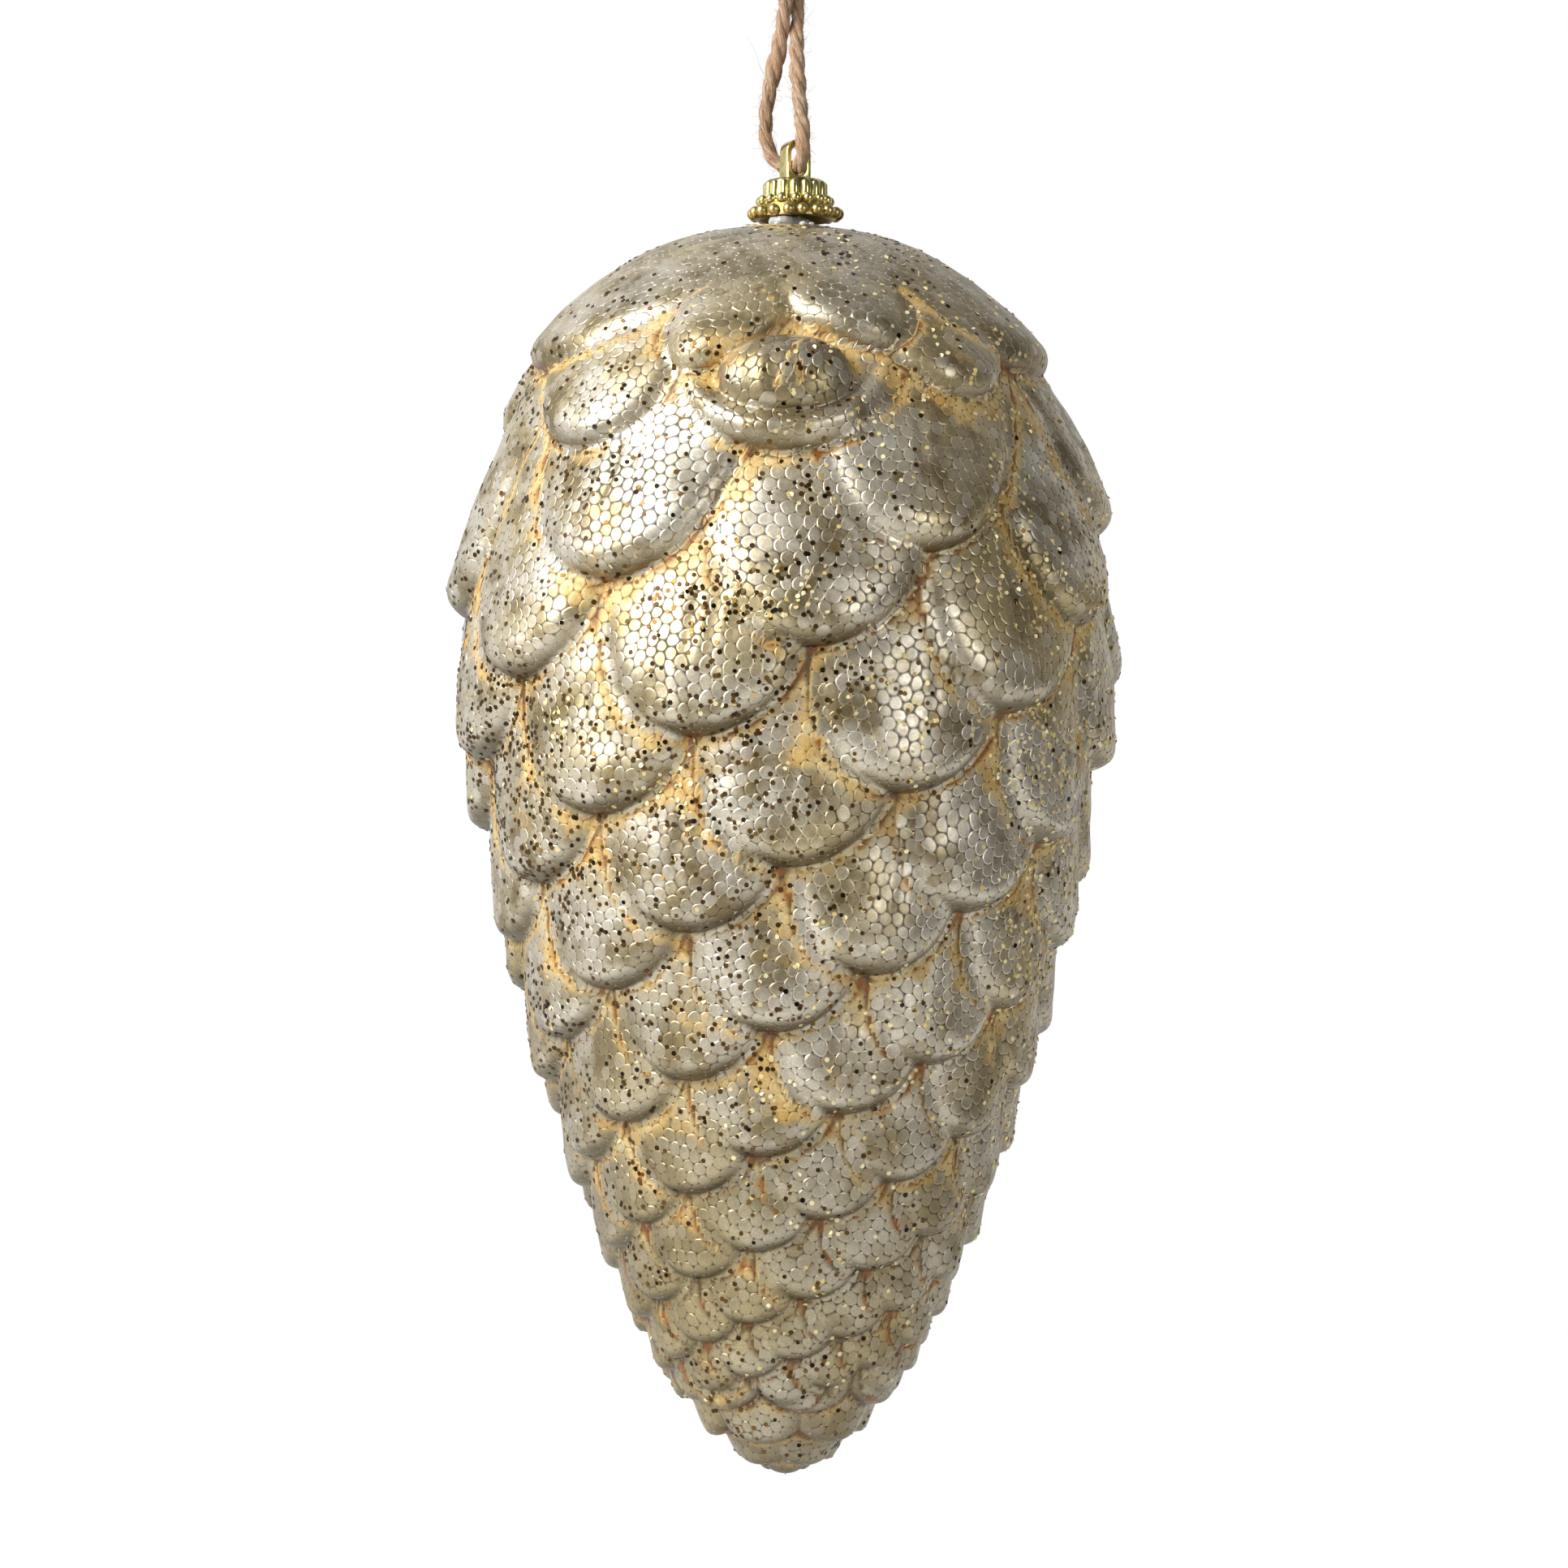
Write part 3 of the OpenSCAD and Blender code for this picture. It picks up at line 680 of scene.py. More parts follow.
def build_body():
    """The cone with its relief, and what the paint reads kept for each point."""
    azimuth = np.linspace(0, 360, COLUMNS + 1)
    s = np.linspace(0, GIRTH - SOCKET_R, FINE_ROWS + 1)
    r = radius_at(s)
    found = raise_scales(azimuth, s)
    crown = (s > GIRTH / 2)[:, None]
    sink = np.clip((r[:, None] - SEAT_R) / CROWN_EASE, 0, 1) ** CROWN_BEND
    height = found["height"] + faint_ribs(found, r) + dents(azimuth, r, s)
    height *= np.where(crown, sink, 1)
    knob, beside_knob = knob_height(azimuth, s, r)
    height = soft_max(height, knob, SOFT_JOIN)
    raised = np.where(crown, ease(sink, CREASES_END, CREASES_FULL), 1)
    above = np.maximum(found["inside"], 0)
    found["wash"] = np.maximum(found["wash"], np.exp(-above / SEAM_WIDTH)) * raised
    round_seat = SEAT_WASH * np.exp(-((r[:, None] - SEAT_WASH_R) / SEAT_WASH_WIDTH) ** 2)
    found["wash"] += beside_knob + round_seat * crown
    # Distance to the nearest crease, where the paint lays dirt and painted shade
    found["seam"] = np.minimum(above, found["below"]) + CREASE_LIFT * (1 - raised)
    on_seat = crown & (r[:, None] < SEAT_R)
    height = np.where(on_seat, 0, np.maximum(height, 0))
    nr, nz = normal_at(s)
    found["ring_r"] = r[:, None] + height * nr[:, None]
    found["z"] = np.where(on_seat, CONE_H, height_at(s)[:, None] + height * nz[:, None])
    travel = share_out_rows(s, found["ring_r"], found["z"])
    nearest = np.rint(travel / s[1]).astype(int)
    owner = found["owner"][nearest, np.arange(COLUMNS + 1)]
    kept = ("ring_r", "z", "inside", "seam", "wash", "slide_across", "slide_along")
    at = {}
    for name in kept:
        lines = [np.interp(travel[:, k], s, found[name][:, k]) for k in range(COLUMNS + 1)]
        at[name] = np.column_stack(lines)
    base_r = radius_at(travel)
    past_rim = (SEAT_R - base_r) / (SEAT_R - SOCKET_R) * (travel > GIRTH / 2)
    shift = CAP_SHIFT * np.clip(past_rim, 0, 1)
    turn = np.radians(azimuth)[None, :]
    points = np.stack([CONE_X + shift + at["ring_r"] * np.sin(turn), -at["ring_r"] * np.cos(turn),
                       TIP_Z + at["z"]], axis=2)
    points[0] = [CONE_X, 0, TIP_Z - TIP_LIP_RISE]
    mesh, column, row = bend_grid("foam_cone", COLUMNS, RINGS, points)
    # Olive with olive painted shade, and lighter silver painted as light, kept for the paint
    olive_and_shade, lit_side_silver = olive_shade_and_lit_silver(points)
    for name, values in (("above_rim", at["inside"]), ("seam", at["seam"]), ("wash", at["wash"]),
                         ("olive_and_shade", olive_and_shade), ("lit_side_silver", lit_side_silver)):
        mark(mesh, name, values[row, column])
    map_beads(mesh, column, row, azimuth, travel, owner, at)
    weld(mesh)
    normals = np.empty(len(mesh.vertices) * 3)
    mesh.vertex_normals.foreach_get("vector", normals)
    # How far each point faces down, which the paint darkens as painted shade
    mark(mesh, "facing_down", -normals.reshape(-1, 3)[:, 2])
    return mesh


def map_beads(mesh, column, row, azimuth, travel, owner, at):
    """Gives each scale its own flat map in metres, so that the beads keep one size everywhere."""
    corner = np.empty(len(mesh.loops), dtype=int)
    mesh.loops.foreach_get("vertex_index", corner)
    quads = corner.reshape(-1, 4)
    places = (row[quads], column[quads])
    centre_row, centre_column = places[0].mean(axis=1), places[1].mean(axis=1)
    own = owner[np.rint(centre_row - 0.01).astype(int), np.rint(centre_column - 0.01).astype(int)]
    middles = np.array([scale["azimuth"] for scale in scales] + [0.0])
    starts = np.array([scale["s"] for scale in scales] + [0.0])
    first = azimuth[np.floor(centre_column).astype(int)]
    turn = wrap(first - middles[own])[:, None] + azimuth[places[1]] - first[:, None]
    across = np.radians(turn) * at["ring_r"][places] + at["slide_across"][places]
    along = travel[places] - starts[own][:, None] + at["slide_along"][places]
    spin = (own * MAP_SPIN)[:, None]
    shift = [(own * step % 1)[:, None] for step in MAP_SHIFT]
    flat = [np.cos(spin) * across - np.sin(spin) * along + shift[0],
            np.sin(spin) * across + np.cos(spin) * along + shift[1]]
    mesh.uv_layers.active.data.foreach_set("uv", np.stack(flat, axis=2).ravel())


body_mesh = build_body()
triangle_count = sum(len(face.vertices) - 2 for face in body_mesh.polygons)
print("cone: faces", len(body_mesh.polygons), "triangles", triangle_count)

# %% [markdown]
# ## Node helpers
# Materials are built from nodes in code. One helper fills the inputs of a node, with numbers or
# with another node's output, and one adds a node, so each finish below reads like a recipe.

# %% Node helpers
def feed(tree, node, inputs):
    """Fills a node's inputs with numbers or with the outputs of other nodes."""
    for name, value in inputs.items():
        if isinstance(value, bpy.types.NodeSocket):
            tree.links.new(value, node.inputs[name])
        else:
            node.inputs[name].default_value = value


def add(tree, kind, inputs=None, **settings):
    node = tree.nodes.new(kind)
    for name, value in settings.items():
        setattr(node, name, value)
    feed(tree, node, inputs or {})
    return node


def calc(tree, operation, a, b):
    return add(tree, "ShaderNodeMath", {0: a, 1: b}, operation=operation).outputs[0]


def ramp(tree, value, low, high, start=0.0, end=1.0):
    """Eases from start to end while the value goes from low to high."""
    names = {"Value": value, "From Min": low, "From Max": high, "To Min": start, "To Max": end}
    return add(tree, "ShaderNodeMapRange", names, interpolation_type="SMOOTHSTEP").outputs[0]


def blend(tree, factor, a, b, mode="MIX"):
    inputs = {0: factor, 6: a, 7: b}
    return add(tree, "ShaderNodeMix", inputs, data_type="RGBA", blend_type=mode).outputs[2]


def noise_of(tree, vector, scale, detail=2.0, roughness=0.5, distortion=0.0):
    names = {"Vector": vector, "Scale": scale, "Detail": detail, "Roughness": roughness,
             "Distortion": distortion}
    return add(tree, "ShaderNodeTexNoise", names).outputs["Fac"]


def bump(tree, height, strength, distance):
    inputs = {"Height": height, "Strength": strength, "Distance": distance}
    return add(tree, "ShaderNodeBump", inputs).outputs[0]


def fact(tree, name):
    return add(tree, "ShaderNodeAttribute", attribute_name=name).outputs["Fac"]


def new_material(name):
    material = bpy.data.materials.new(name)
    material.use_nodes = True
    return material, material.node_tree, material.node_tree.nodes["Principled BSDF"]


def rgb(red, green, blue):
    """A colour given as it looks, from 0 to 255, in the shader's linear values."""
    def linear(value):
        value = value / 255
        return value / 12.92 if value <= 0.04045 else ((value + 0.055) / 1.055) ** 2.4
    return (linear(red), linear(green), linear(blue), 1.0)


# %% [markdown]
# ## Foam beads
# The cone is moulded from polystyrene beads about 3 mm across. Steam presses them together into
# flat discs of nearly one size, with thin gaps between them and a pit where three of them meet.
# A Voronoi texture gives cells of too many sizes, so the group below lays a honeycomb on the
# scale's own flat map and pushes it about with noise. A honeycomb is two rectangular grids, and
# a point belongs to the nearer of its two grid points. The distance to that point makes the disc.

# %% Foam bead pattern
HONEYCOMB = (1.0, math.sqrt(3), 1.0)
HALF_COMB = tuple(side / 2 for side in HONEYCOMB)
DISC_SPREAD, BEAD_TILT = 0.035, 0.22
DOME_EDGE, DISC_EDGE, PIT_EDGE = (0.4, 0.54), (0.48, 0.53), (0.51, 0.55)
# Scale and strength of the two noises that push the pattern about
pushes = [(0.24, 0.9), (0.8, 0.28)]


def vector(tree, operation, *inputs):
    return add(tree, "ShaderNodeVectorMath", dict(enumerate(inputs)), operation=operation).outputs[0]


def push_about(tree, cells, scale, amount):
    """Moves a flat pattern sideways by a soft noise."""
    noise = add(tree, "ShaderNodeTexNoise", {"Vector": cells, "Scale": scale, "Detail": 1.0},
                noise_dimensions="2D").outputs["Color"]
    centred = vector(tree, "SUBTRACT", noise, (0.5, 0.5, 0.5))
    return vector(tree, "MULTIPLY_ADD", centred, (amount, amount, 0.0), cells)


def bead_group():
    """The honeycomb of beads as a node group, for any finish of pressed foam."""
    group = bpy.data.node_groups.new("foam beads", "ShaderNodeTree")
    sockets = group.interface
    sockets.new_socket("Vector", in_out="INPUT", socket_type="NodeSocketVector")
    sockets.new_socket("Size", in_out="INPUT", socket_type="NodeSocketFloat")
    for name in ("Gap", "Pit", "Dome", "Tone", "Second Tone"):
        sockets.new_socket(name, in_out="OUTPUT", socket_type="NodeSocketFloat")
    start = add(group, "NodeGroupInput")
    end = add(group, "NodeGroupOutput")
    per_size = calc(group, "DIVIDE", 1.0, start.outputs["Size"])
    cells = add(group, "ShaderNodeVectorMath", {0: start.outputs["Vector"], "Scale": per_size},
                operation="SCALE").outputs[0]
    for scale, amount in pushes:
        cells = push_about(group, cells, scale, amount)
    below = tuple(-side for side in HALF_COMB)
    first = vector(group, "WRAP", cells, HALF_COMB, below)
    shifted = vector(group, "ADD", cells, HALF_COMB)
    second = vector(group, "WRAP", shifted, HALF_COMB, below)
    lengths = []
    for own in (first, second):
        flat = vector(group, "MULTIPLY", own, (1, 1, 0))
        lengths.append(add(group, "ShaderNodeVectorMath", {0: flat}, operation="LENGTH").outputs["Value"])
    nearer = calc(group, "LESS_THAN", lengths[1], lengths[0])
    either = {0: nearer, 4: first, 5: second}
    own = add(group, "ShaderNodeMix", either, data_type="VECTOR").outputs[1]
    middle = vector(group, "SUBTRACT", cells, own)
    middle = vector(group, "MULTIPLY", middle, (2, 2 / math.sqrt(3), 0))
    middle = vector(group, "FLOOR", vector(group, "ADD", middle, (0.5, 0.5, 0)))
    chance = add(group, "ShaderNodeTexWhiteNoise", {"Vector": middle}, noise_dimensions="2D")
    chance = chance.outputs["Color"]
    tones = add(group, "ShaderNodeSeparateColor", {0: chance}).outputs
    away = calc(group, "MINIMUM", lengths[0], lengths[1])
    leaning = {0: own, 1: vector(group, "SUBTRACT", chance, (0.5, 0.5, 0.5))}
    tilt = add(group, "ShaderNodeVectorMath", leaning, operation="DOT_PRODUCT").outputs["Value"]
    larger = calc(group, "MULTIPLY", calc(group, "SUBTRACT", tones[0], 0.5), DISC_SPREAD)
    away = calc(group, "ADD", away, larger)
    proud = ramp(group, tones[2], 0.75, 0.95, 0.8, 2.2)
    dome = calc(group, "MULTIPLY", ramp(group, away, *DOME_EDGE, 1.0, 0.0), proud)
    dome = calc(group, "ADD", dome, calc(group, "MULTIPLY", tilt, BEAD_TILT))
    feed(group, end, {"Gap": ramp(group, away, *DISC_EDGE), "Pit": ramp(group, away, *PIT_EDGE),
                      "Dome": dome, "Tone": tones[0], "Second Tone": tones[1]})
    return group


foam_beads = bead_group()
print("node group:", foam_beads.name)

# %% [markdown]
# ## Metal paint, wash and bead lines
# Silver and champagne metal paint covers the beads and is thicker, more olive and nearly smooth
# on the lips and the crown. A cream wash was wiped over it and stayed in the creases below each
# scale's edge, where its orange sediment shows in the lines between the beads. Light and shade are
# painted into the colour as well: lighter silver on the upper left, olive shade on the crown's right,
# darker undersides, pits, creases and lower cone, and bright glints on the lips and the crown.

# %% Painted foam
BEAD_SIZE = 2.65 * MM
CROWN_LOW, CROWN_TOP = -122 * MM, -100 * MM
LOW_FOOT, LOW_TOP = -300 * MM, -210 * MM
LIP_START, LIP_END = 0.6 * MM, 3.8 * MM
CREASE_IN, CREASE_OUT, CREASE_BLOTS = -0.6 * MM, 0.5 * MM, 1.6 * MM


def share(tree, *values):
    """The product of several masks."""
    total = values[0]
    for value in values[1:]:
        total = calc(tree, "MULTIPLY", total, value)
    return total


def about(tree, noise, strength):
    """How far a noise lies from its middle value, times a strength."""
    return calc(tree, "MULTIPLY", calc(tree, "SUBTRACT", noise, 0.5), strength)


def painted_surface(tree):
    """What the coats read: the beads, noises of several sizes, and masks of parts of the cone."""
    flat = add(tree, "ShaderNodeUVMap", uv_map="UVMap").outputs[0]
    place = add(tree, "ShaderNodeTexCoord").outputs["Object"]
    beads = add(tree, "ShaderNodeGroup", {"Vector": flat, "Size": BEAD_SIZE}, node_tree=foam_beads)
    level = add(tree, "ShaderNodeSeparateXYZ", {0: place}).outputs["Z"]
    on = SimpleNamespace(place=place, beads=beads.outputs, above=fact(tree, "above_rim"))
    on.patchy = noise_of(tree, place, 95, 3, 0.6)
    on.blots = noise_of(tree, place, 230, 3, 0.7)
    on.mottle = noise_of(tree, place, 420, 4, 0.7)
    on.fine = noise_of(tree, place, 900, 3, 0.65)
    on.grain = noise_of(tree, place, 2600, 2, 0.6)
    on.lip = ramp(tree, on.above, LIP_START, LIP_END, 1.0, 0.0)
    on.crown = ramp(tree, level, CROWN_LOW, CROWN_TOP)
    on.low = ramp(tree, level, LOW_FOOT, LOW_TOP, 1.0, 0.0)
    on.higher = calc(tree, "SUBTRACT", 1.0, calc(tree, "MULTIPLY", on.low, 0.75))
    thick = [calc(tree, "MULTIPLY", on.lip, 0.65), calc(tree, "MULTIPLY", on.crown, 0.5)]
    on.beaded = calc(tree, "SUBTRACT", 1.0, calc(tree, "MAXIMUM", *thick))
    return on


def metal_paint(tree, on):
    """Silver and champagne metal, turning olive in patches and duller on the lips, with painted shade low
    down and on the crown's right, and painted light on the upper left.
    """
    broad = noise_of(tree, on.place, 28, 2)
    paint = blend(tree, ramp(tree, broad, 0.4, 0.62), rgb(212, 204, 184), rgb(202, 184, 140))
    mixed = calc(tree, "ADD", calc(tree, "MULTIPLY", on.beads["Tone"], 0.14), on.patchy)
    paint = blend(tree, ramp(tree, mixed, 0.46, 0.82), paint, rgb(136, 120, 84))
    # Olive where the base coat shows in patches and on the knob, and olive painted shade on the crown's
    # right
    bare_and_shaded = ramp(tree, noise_of(tree, on.place, 48, 3, 0.6), 0.5, 0.66)
    bare_and_shaded = calc(tree, "MAXIMUM", calc(tree, "MULTIPLY", bare_and_shaded, 0.5), fact(tree, "olive_and_shade"))
    paint = blend(tree, bare_and_shaded, paint, rgb(128, 113, 78))
    stained = share(tree, on.crown, ramp(tree, on.mottle, 0.52, 0.68), 0.6)
    paint = blend(tree, stained, paint, rgb(100, 84, 54))
    worn = share(tree, on.crown, ramp(tree, on.mottle, 0.3, 0.44, 0.6, 0.0))
    paint = blend(tree, worn, paint, rgb(214, 204, 180))
    # Lighter silver painted as light on the upper left, in patches
    lit_side_silver = share(tree, fact(tree, "lit_side_silver"), ramp(tree, on.patchy, 0.35, 0.6, 0.6, 0.0))
    paint = blend(tree, lit_side_silver, paint, rgb(226, 222, 214))
    # Duller paint on the lips, and painted shade that darkens the cone towards the bottom
    dull = [calc(tree, "MULTIPLY", on.lip, 0.35), calc(tree, "MULTIPLY", on.low, 0.5)]
    paint = blend(tree, calc(tree, "MAXIMUM", *dull), paint, rgb(138, 125, 92))
    bright = share(tree, ramp(tree, on.beads["Second Tone"], 0.6, 1.0), on.beaded, on.higher, 0.4)
    return blend(tree, bright, paint, rgb(240, 232, 214))


def wiped_wash(tree, on):
    """How much wash was left: most below the edges, and less or more of it in patches and blots."""
    uneven = calc(tree, "ADD", about(tree, on.patchy, 1.1), about(tree, on.blots, 0.8))
    uneven = calc(tree, "ADD", uneven, about(tree, noise_of(tree, on.place, 44, 2), 1.3))
    wiped = calc(tree, "ADD", fact(tree, "wash"), uneven)
    return calc(tree, "SUBTRACT", wiped, calc(tree, "MULTIPLY", on.low, 0.22))


def washed(tree, on, paint, wiped, wash):
    """The paint under the cream wash, with brown stains where the wash lies thick."""
    cream = blend(tree, ramp(tree, on.blots, 0.35, 0.65), rgb(240, 212, 146), rgb(216, 174, 96))
    thick, mottled = ramp(tree, wiped, 0.45, 1.0), ramp(tree, on.mottle, 0.5, 0.7)
    cream = blend(tree, share(tree, thick, mottled, on.higher, 0.6), cream, rgb(154, 114, 52))
    return blend(tree, calc(tree, "MULTIPLY", wash, 0.92), paint, cream)


def soiled_and_shaded(tree, on, colour, wiped, wash, line):
    """Sediment between the beads, painted shade in the pits and on the undersides, and dirt with painted
    shade in the creases.
    """
    sediment = blend(tree, ramp(tree, wiped, 0.0, 0.5), rgb(104, 88, 60), rgb(182, 130, 70))
    colour = blend(tree, calc(tree, "MULTIPLY", line, 0.65), colour, sediment)
    # Painted shade in the pits where three beads meet
    colour = blend(tree, share(tree, on.beads["Pit"], on.beaded, 0.9), colour, rgb(58, 46, 30))
    # Painted shade on surfaces that face down, where the wash is thin
    painted_underside_shade = ramp(tree, fact(tree, "facing_down"), 0.3, 0.85)
    unwashed = calc(tree, "SUBTRACT", 1.0, wash)
    colour = blend(tree, share(tree, painted_underside_shade, unwashed, 0.85), colour, rgb(98, 86, 56))
    # Dark brown and orange dirt in the creases, which also stands for painted shade there
    uneven = calc(tree, "MULTIPLY", on.blots, CREASE_BLOTS)
    crease_dirt_and_shade = calc(tree, "SUBTRACT", fact(tree, "seam"), uneven)
    crease_dirt_and_shade = ramp(tree, crease_dirt_and_shade, CREASE_IN, CREASE_OUT, 1.0, 0.0)
    dirt_and_shade = blend(tree, ramp(tree, on.blots, 0.46, 0.64), rgb(62, 44, 24), rgb(142, 80, 26))
    patches = ramp(tree, on.patchy, 0.2, 0.45, 0.4, 1.0)
    return blend(tree, share(tree, crease_dirt_and_shade, patches, 0.9), colour, dirt_and_shade)


def speckle_and_painted_glints(tree, on, colour):
    """A fine speckle over everything, and bright glints painted in the pits of the lips and the crown."""
    speckle = ramp(tree, on.grain, 0.3, 0.7, 0.86, 1.1)
    speckle = add(tree, "ShaderNodeCombineColor", {0: speckle, 1: speckle, 2: speckle}).outputs[0]
    colour = blend(tree, 1.0, colour, speckle, "MULTIPLY")
    edge = calc(tree, "MULTIPLY", on.beads["Gap"], ramp(tree, on.fine, 0.52, 0.6))
    deep = calc(tree, "MAXIMUM", on.beads["Pit"], edge)
    thick = calc(tree, "MAXIMUM", on.lip, on.crown)
    some = ramp(tree, on.beads["Tone"], 0.35, 0.55)
    off_rim = ramp(tree, on.above, 1 * MM, 2 * MM)
    # Painted highlight: white glints at the pits and some bead edges
    return blend(tree, share(tree, deep, thick, some, off_rim), colour, rgb(254, 250, 240))


def painted_foam():
    """The whole finish of the cone, coat over coat, with painted light and shade among the coats."""
    material, tree, shader = new_material("painted_foam")
    on = painted_surface(tree)
    wiped = wiped_wash(tree, on)
    wash = ramp(tree, wiped, 0.32, 0.8)
    shown = ramp(tree, calc(tree, "ADD", on.beads["Second Tone"], on.patchy), 0.4, 1.0, 0.4, 1.0)
    line = share(tree, on.beads["Gap"], shown, calc(tree, "MAXIMUM", on.beaded, 0.45))
    colour = washed(tree, on, metal_paint(tree, on), wiped, wash)
    colour = soiled_and_shaded(tree, on, colour, wiped, wash, line)
    colour = speckle_and_painted_glints(tree, on, colour)

    metal = ramp(tree, wash, 0.0, 1.0, 0.68, 0.1)
    metal = calc(tree, "MULTIPLY", metal, calc(tree, "SUBTRACT", 1.0, line))
    rough = calc(tree, "ADD", 0.3, calc(tree, "MULTIPLY", ramp(tree, on.fine, 0.3, 0.7), 0.12))
    rough = calc(tree, "ADD", rough, calc(tree, "MULTIPLY", wash, 0.12))
    height = share(tree, on.beads["Dome"], calc(tree, "MAXIMUM", on.beaded, 0.15))
    height = calc(tree, "ADD", height, calc(tree, "MULTIPLY", on.fine, 0.22))
    height = calc(tree, "ADD", height, calc(tree, "MULTIPLY", on.grain, 0.1))
    height = calc(tree, "SUBTRACT", height, calc(tree, "MULTIPLY", on.beads["Pit"], 0.5))
    feed(tree, shader, {"Base Color": colour, "Metallic": metal, "Roughness": rough,
                        "Normal": bump(tree, height, 0.8, 0.13 * MM)})
    return material


body = link("foam_cone", body_mesh, painted_foam())
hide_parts("cone_body")
print("cone: material", body.data.materials[0].name)

# %% [markdown]
# ## Glitter
# The glitter is one millimetre flakes, hexagons cut from metallised film. They lie flat where
# they fell, in loose clumps. Flakes turned to the dark room look nearly black and flakes turned
# to the lamp look like bright gold, so this light and shade is painted into two finishes: a dark
# one and a bright gold one, with more of the bright ones on the right. One flake is made by an
# operator and its copies are laid on faces of the cone picked at random.

# %% Flakes
FLAKE_ACROSS = 1.0 * MM
FLAKE_THICK = 0.07 * MM
FLAKE_LIFT = 0.03 * MM
FLAKE_COUNT = 8000
# Where more of it fell: azimuth, depth under the seat in millimetres, reach, and what share of it is
# painted lit gold
spills = [
    (-41, 103, 7, 0.85), (-21, 114, 7, 0.85), (-64, 112, 16, 0.03), (-48, 134, 12, 0.1),
    (41, 72, 13, 0.95), (52, 107, 13, 0.95), (60, 140, 15, 0.85), (20, 98, 9, 0.7),
    (-8, 75, 8, 0.05), (150, 90, 16, 0.6), (-150, 120, 16, 0.3),
]
SPOTS_PER_FLAKE = 6
CLUMPING, SCATTER, SPILL_PULL = 0.8, 0.6, 1.1


def flake_template():
    bm = bmesh.new()
    bmesh.ops.create_circle(bm, cap_ends=True, segments=6, radius=FLAKE_ACROSS / 2)
    made = bmesh.ops.extrude_face_region(bm, geom=bm.faces[:])
    top = [v for v in made["geom"] if isinstance(v, bmesh.types.BMVert)]
    bmesh.ops.translate(bm, verts=top, vec=(0, 0, FLAKE_THICK))
    bmesh.ops.recalc_face_normals(bm, faces=bm.faces)
    return to_mesh("flake", bm, smooth=False)


def random_spots(mesh, count, seed):
    """Places and normals on a mesh, spread evenly over its area."""
    rng = np.random.default_rng(seed)
    mesh.calc_loop_triangles()
    size = len(mesh.loop_triangles)
    corners_of = np.empty(size * 3, dtype=int)
    mesh.loop_triangles.foreach_get("vertices", corners_of)
    co = np.empty(len(mesh.vertices) * 3)
    mesh.vertices.foreach_get("co", co)
    triangles = co.reshape(-1, 3)[corners_of.reshape(-1, 3)]
    across = np.cross(triangles[:, 1] - triangles[:, 0], triangles[:, 2] - triangles[:, 0])
    area = np.linalg.norm(across, axis=1)
    chosen = rng.choice(size, count, p=area / area.sum())
    a, b = rng.random((2, count))
    flip = a + b > 1
    a, b = np.where(flip, 1 - a, a)[:, None], np.where(flip, 1 - b, b)[:, None]
    picked = triangles[chosen]
    places = picked[:, 0] * (1 - a - b) + picked[:, 1] * a + picked[:, 2] * b
    return places, across[chosen] / area[chosen][:, None], rng


def lay_copies(name, template, places, normals, tilt, rng, sizes):
    """Copies of a small mesh at the places, facing along the normals with a random tilt."""
    normals = normals + rng.normal(0, tilt, normals.shape)
    normals /= np.linalg.norm(normals, axis=1)[:, None]
    side = np.cross(normals, rng.normal(0, 1, normals.shape))
    side /= np.linalg.norm(side, axis=1)[:, None]
    up = np.cross(normals, side)
    shape = np.array([v.co[:] for v in template.vertices])[None, :, :] * sizes[:, None, None]
    points = (places[:, None, :] + shape[:, :, 0:1] * side[:, None, :] + shape[:, :, 1:2] * up[:, None, :]
              + shape[:, :, 2:3] * normals[:, None, :])
    count = len(template.vertices)
    rings = [tuple(face.vertices) for face in template.polygons]
    faces = [tuple(v + count * k for v in ring) for k in range(len(places)) for ring in rings]
    mesh = bpy.data.meshes.new(name)
    mesh.from_pydata(points.reshape(-1, 3).tolist(), [], faces)
    mark(mesh, "tone", np.repeat(rng.random(len(places)), count))
    return mesh


def sprinkle():
    """Places and normals of the flakes, and which of them are painted lit gold instead of shaded dark."""
    places, normals, rng = random_spots(body_mesh, FLAKE_COUNT * SPOTS_PER_FLAKE, 11)
    # More of the flakes are painted lit gold towards the right, where the lamp catches them
    lit_flake_share = (places[:, 0] - CONE_X) / BASE_R + 0.45 * waves(places, 8)
    lit_flake_share = np.clip((lit_flake_share + 0.2) / 0.9, 0.04, 0.92)
    clump = CLUMPING * waves(places, 5) + rng.normal(0, SCATTER, len(places))
    for azimuth, depth, reach, how_lit in spills:
        turn = math.radians(azimuth)
        outward = np.array([math.sin(turn), -math.cos(turn), 0])
        centre = BASE_R * outward + [CONE_X, 0, SEAT_Z - depth * MM]
        near = np.exp(-((places - centre) ** 2).sum(axis=1) / (reach * MM) ** 2)
        clump += SPILL_PULL * near
        lit_flake_share += near * (how_lit - lit_flake_share)
    order = np.argsort(-clump)[:FLAKE_COUNT]
    order = order[places[order, 2] < SEAT_Z - 1 * MM]
    places, normals, lit_flake_share = places[order], normals[order], lit_flake_share[order]
    gold = rng.random(len(places)) < lit_flake_share
    return places + normals * FLAKE_LIFT, normals, gold, rng


def flake_material(name, dull, bright, metal):
    material, tree, shader = new_material(name)
    colour = blend(tree, fact(tree, "tone"), dull, bright)
    feed(tree, shader, {"Base Color": colour, "Metallic": metal, "Roughness": 0.3})
    return material


flake = flake_template()
flake_places, flake_normals, is_lit_flake, flake_rng = sprinkle()
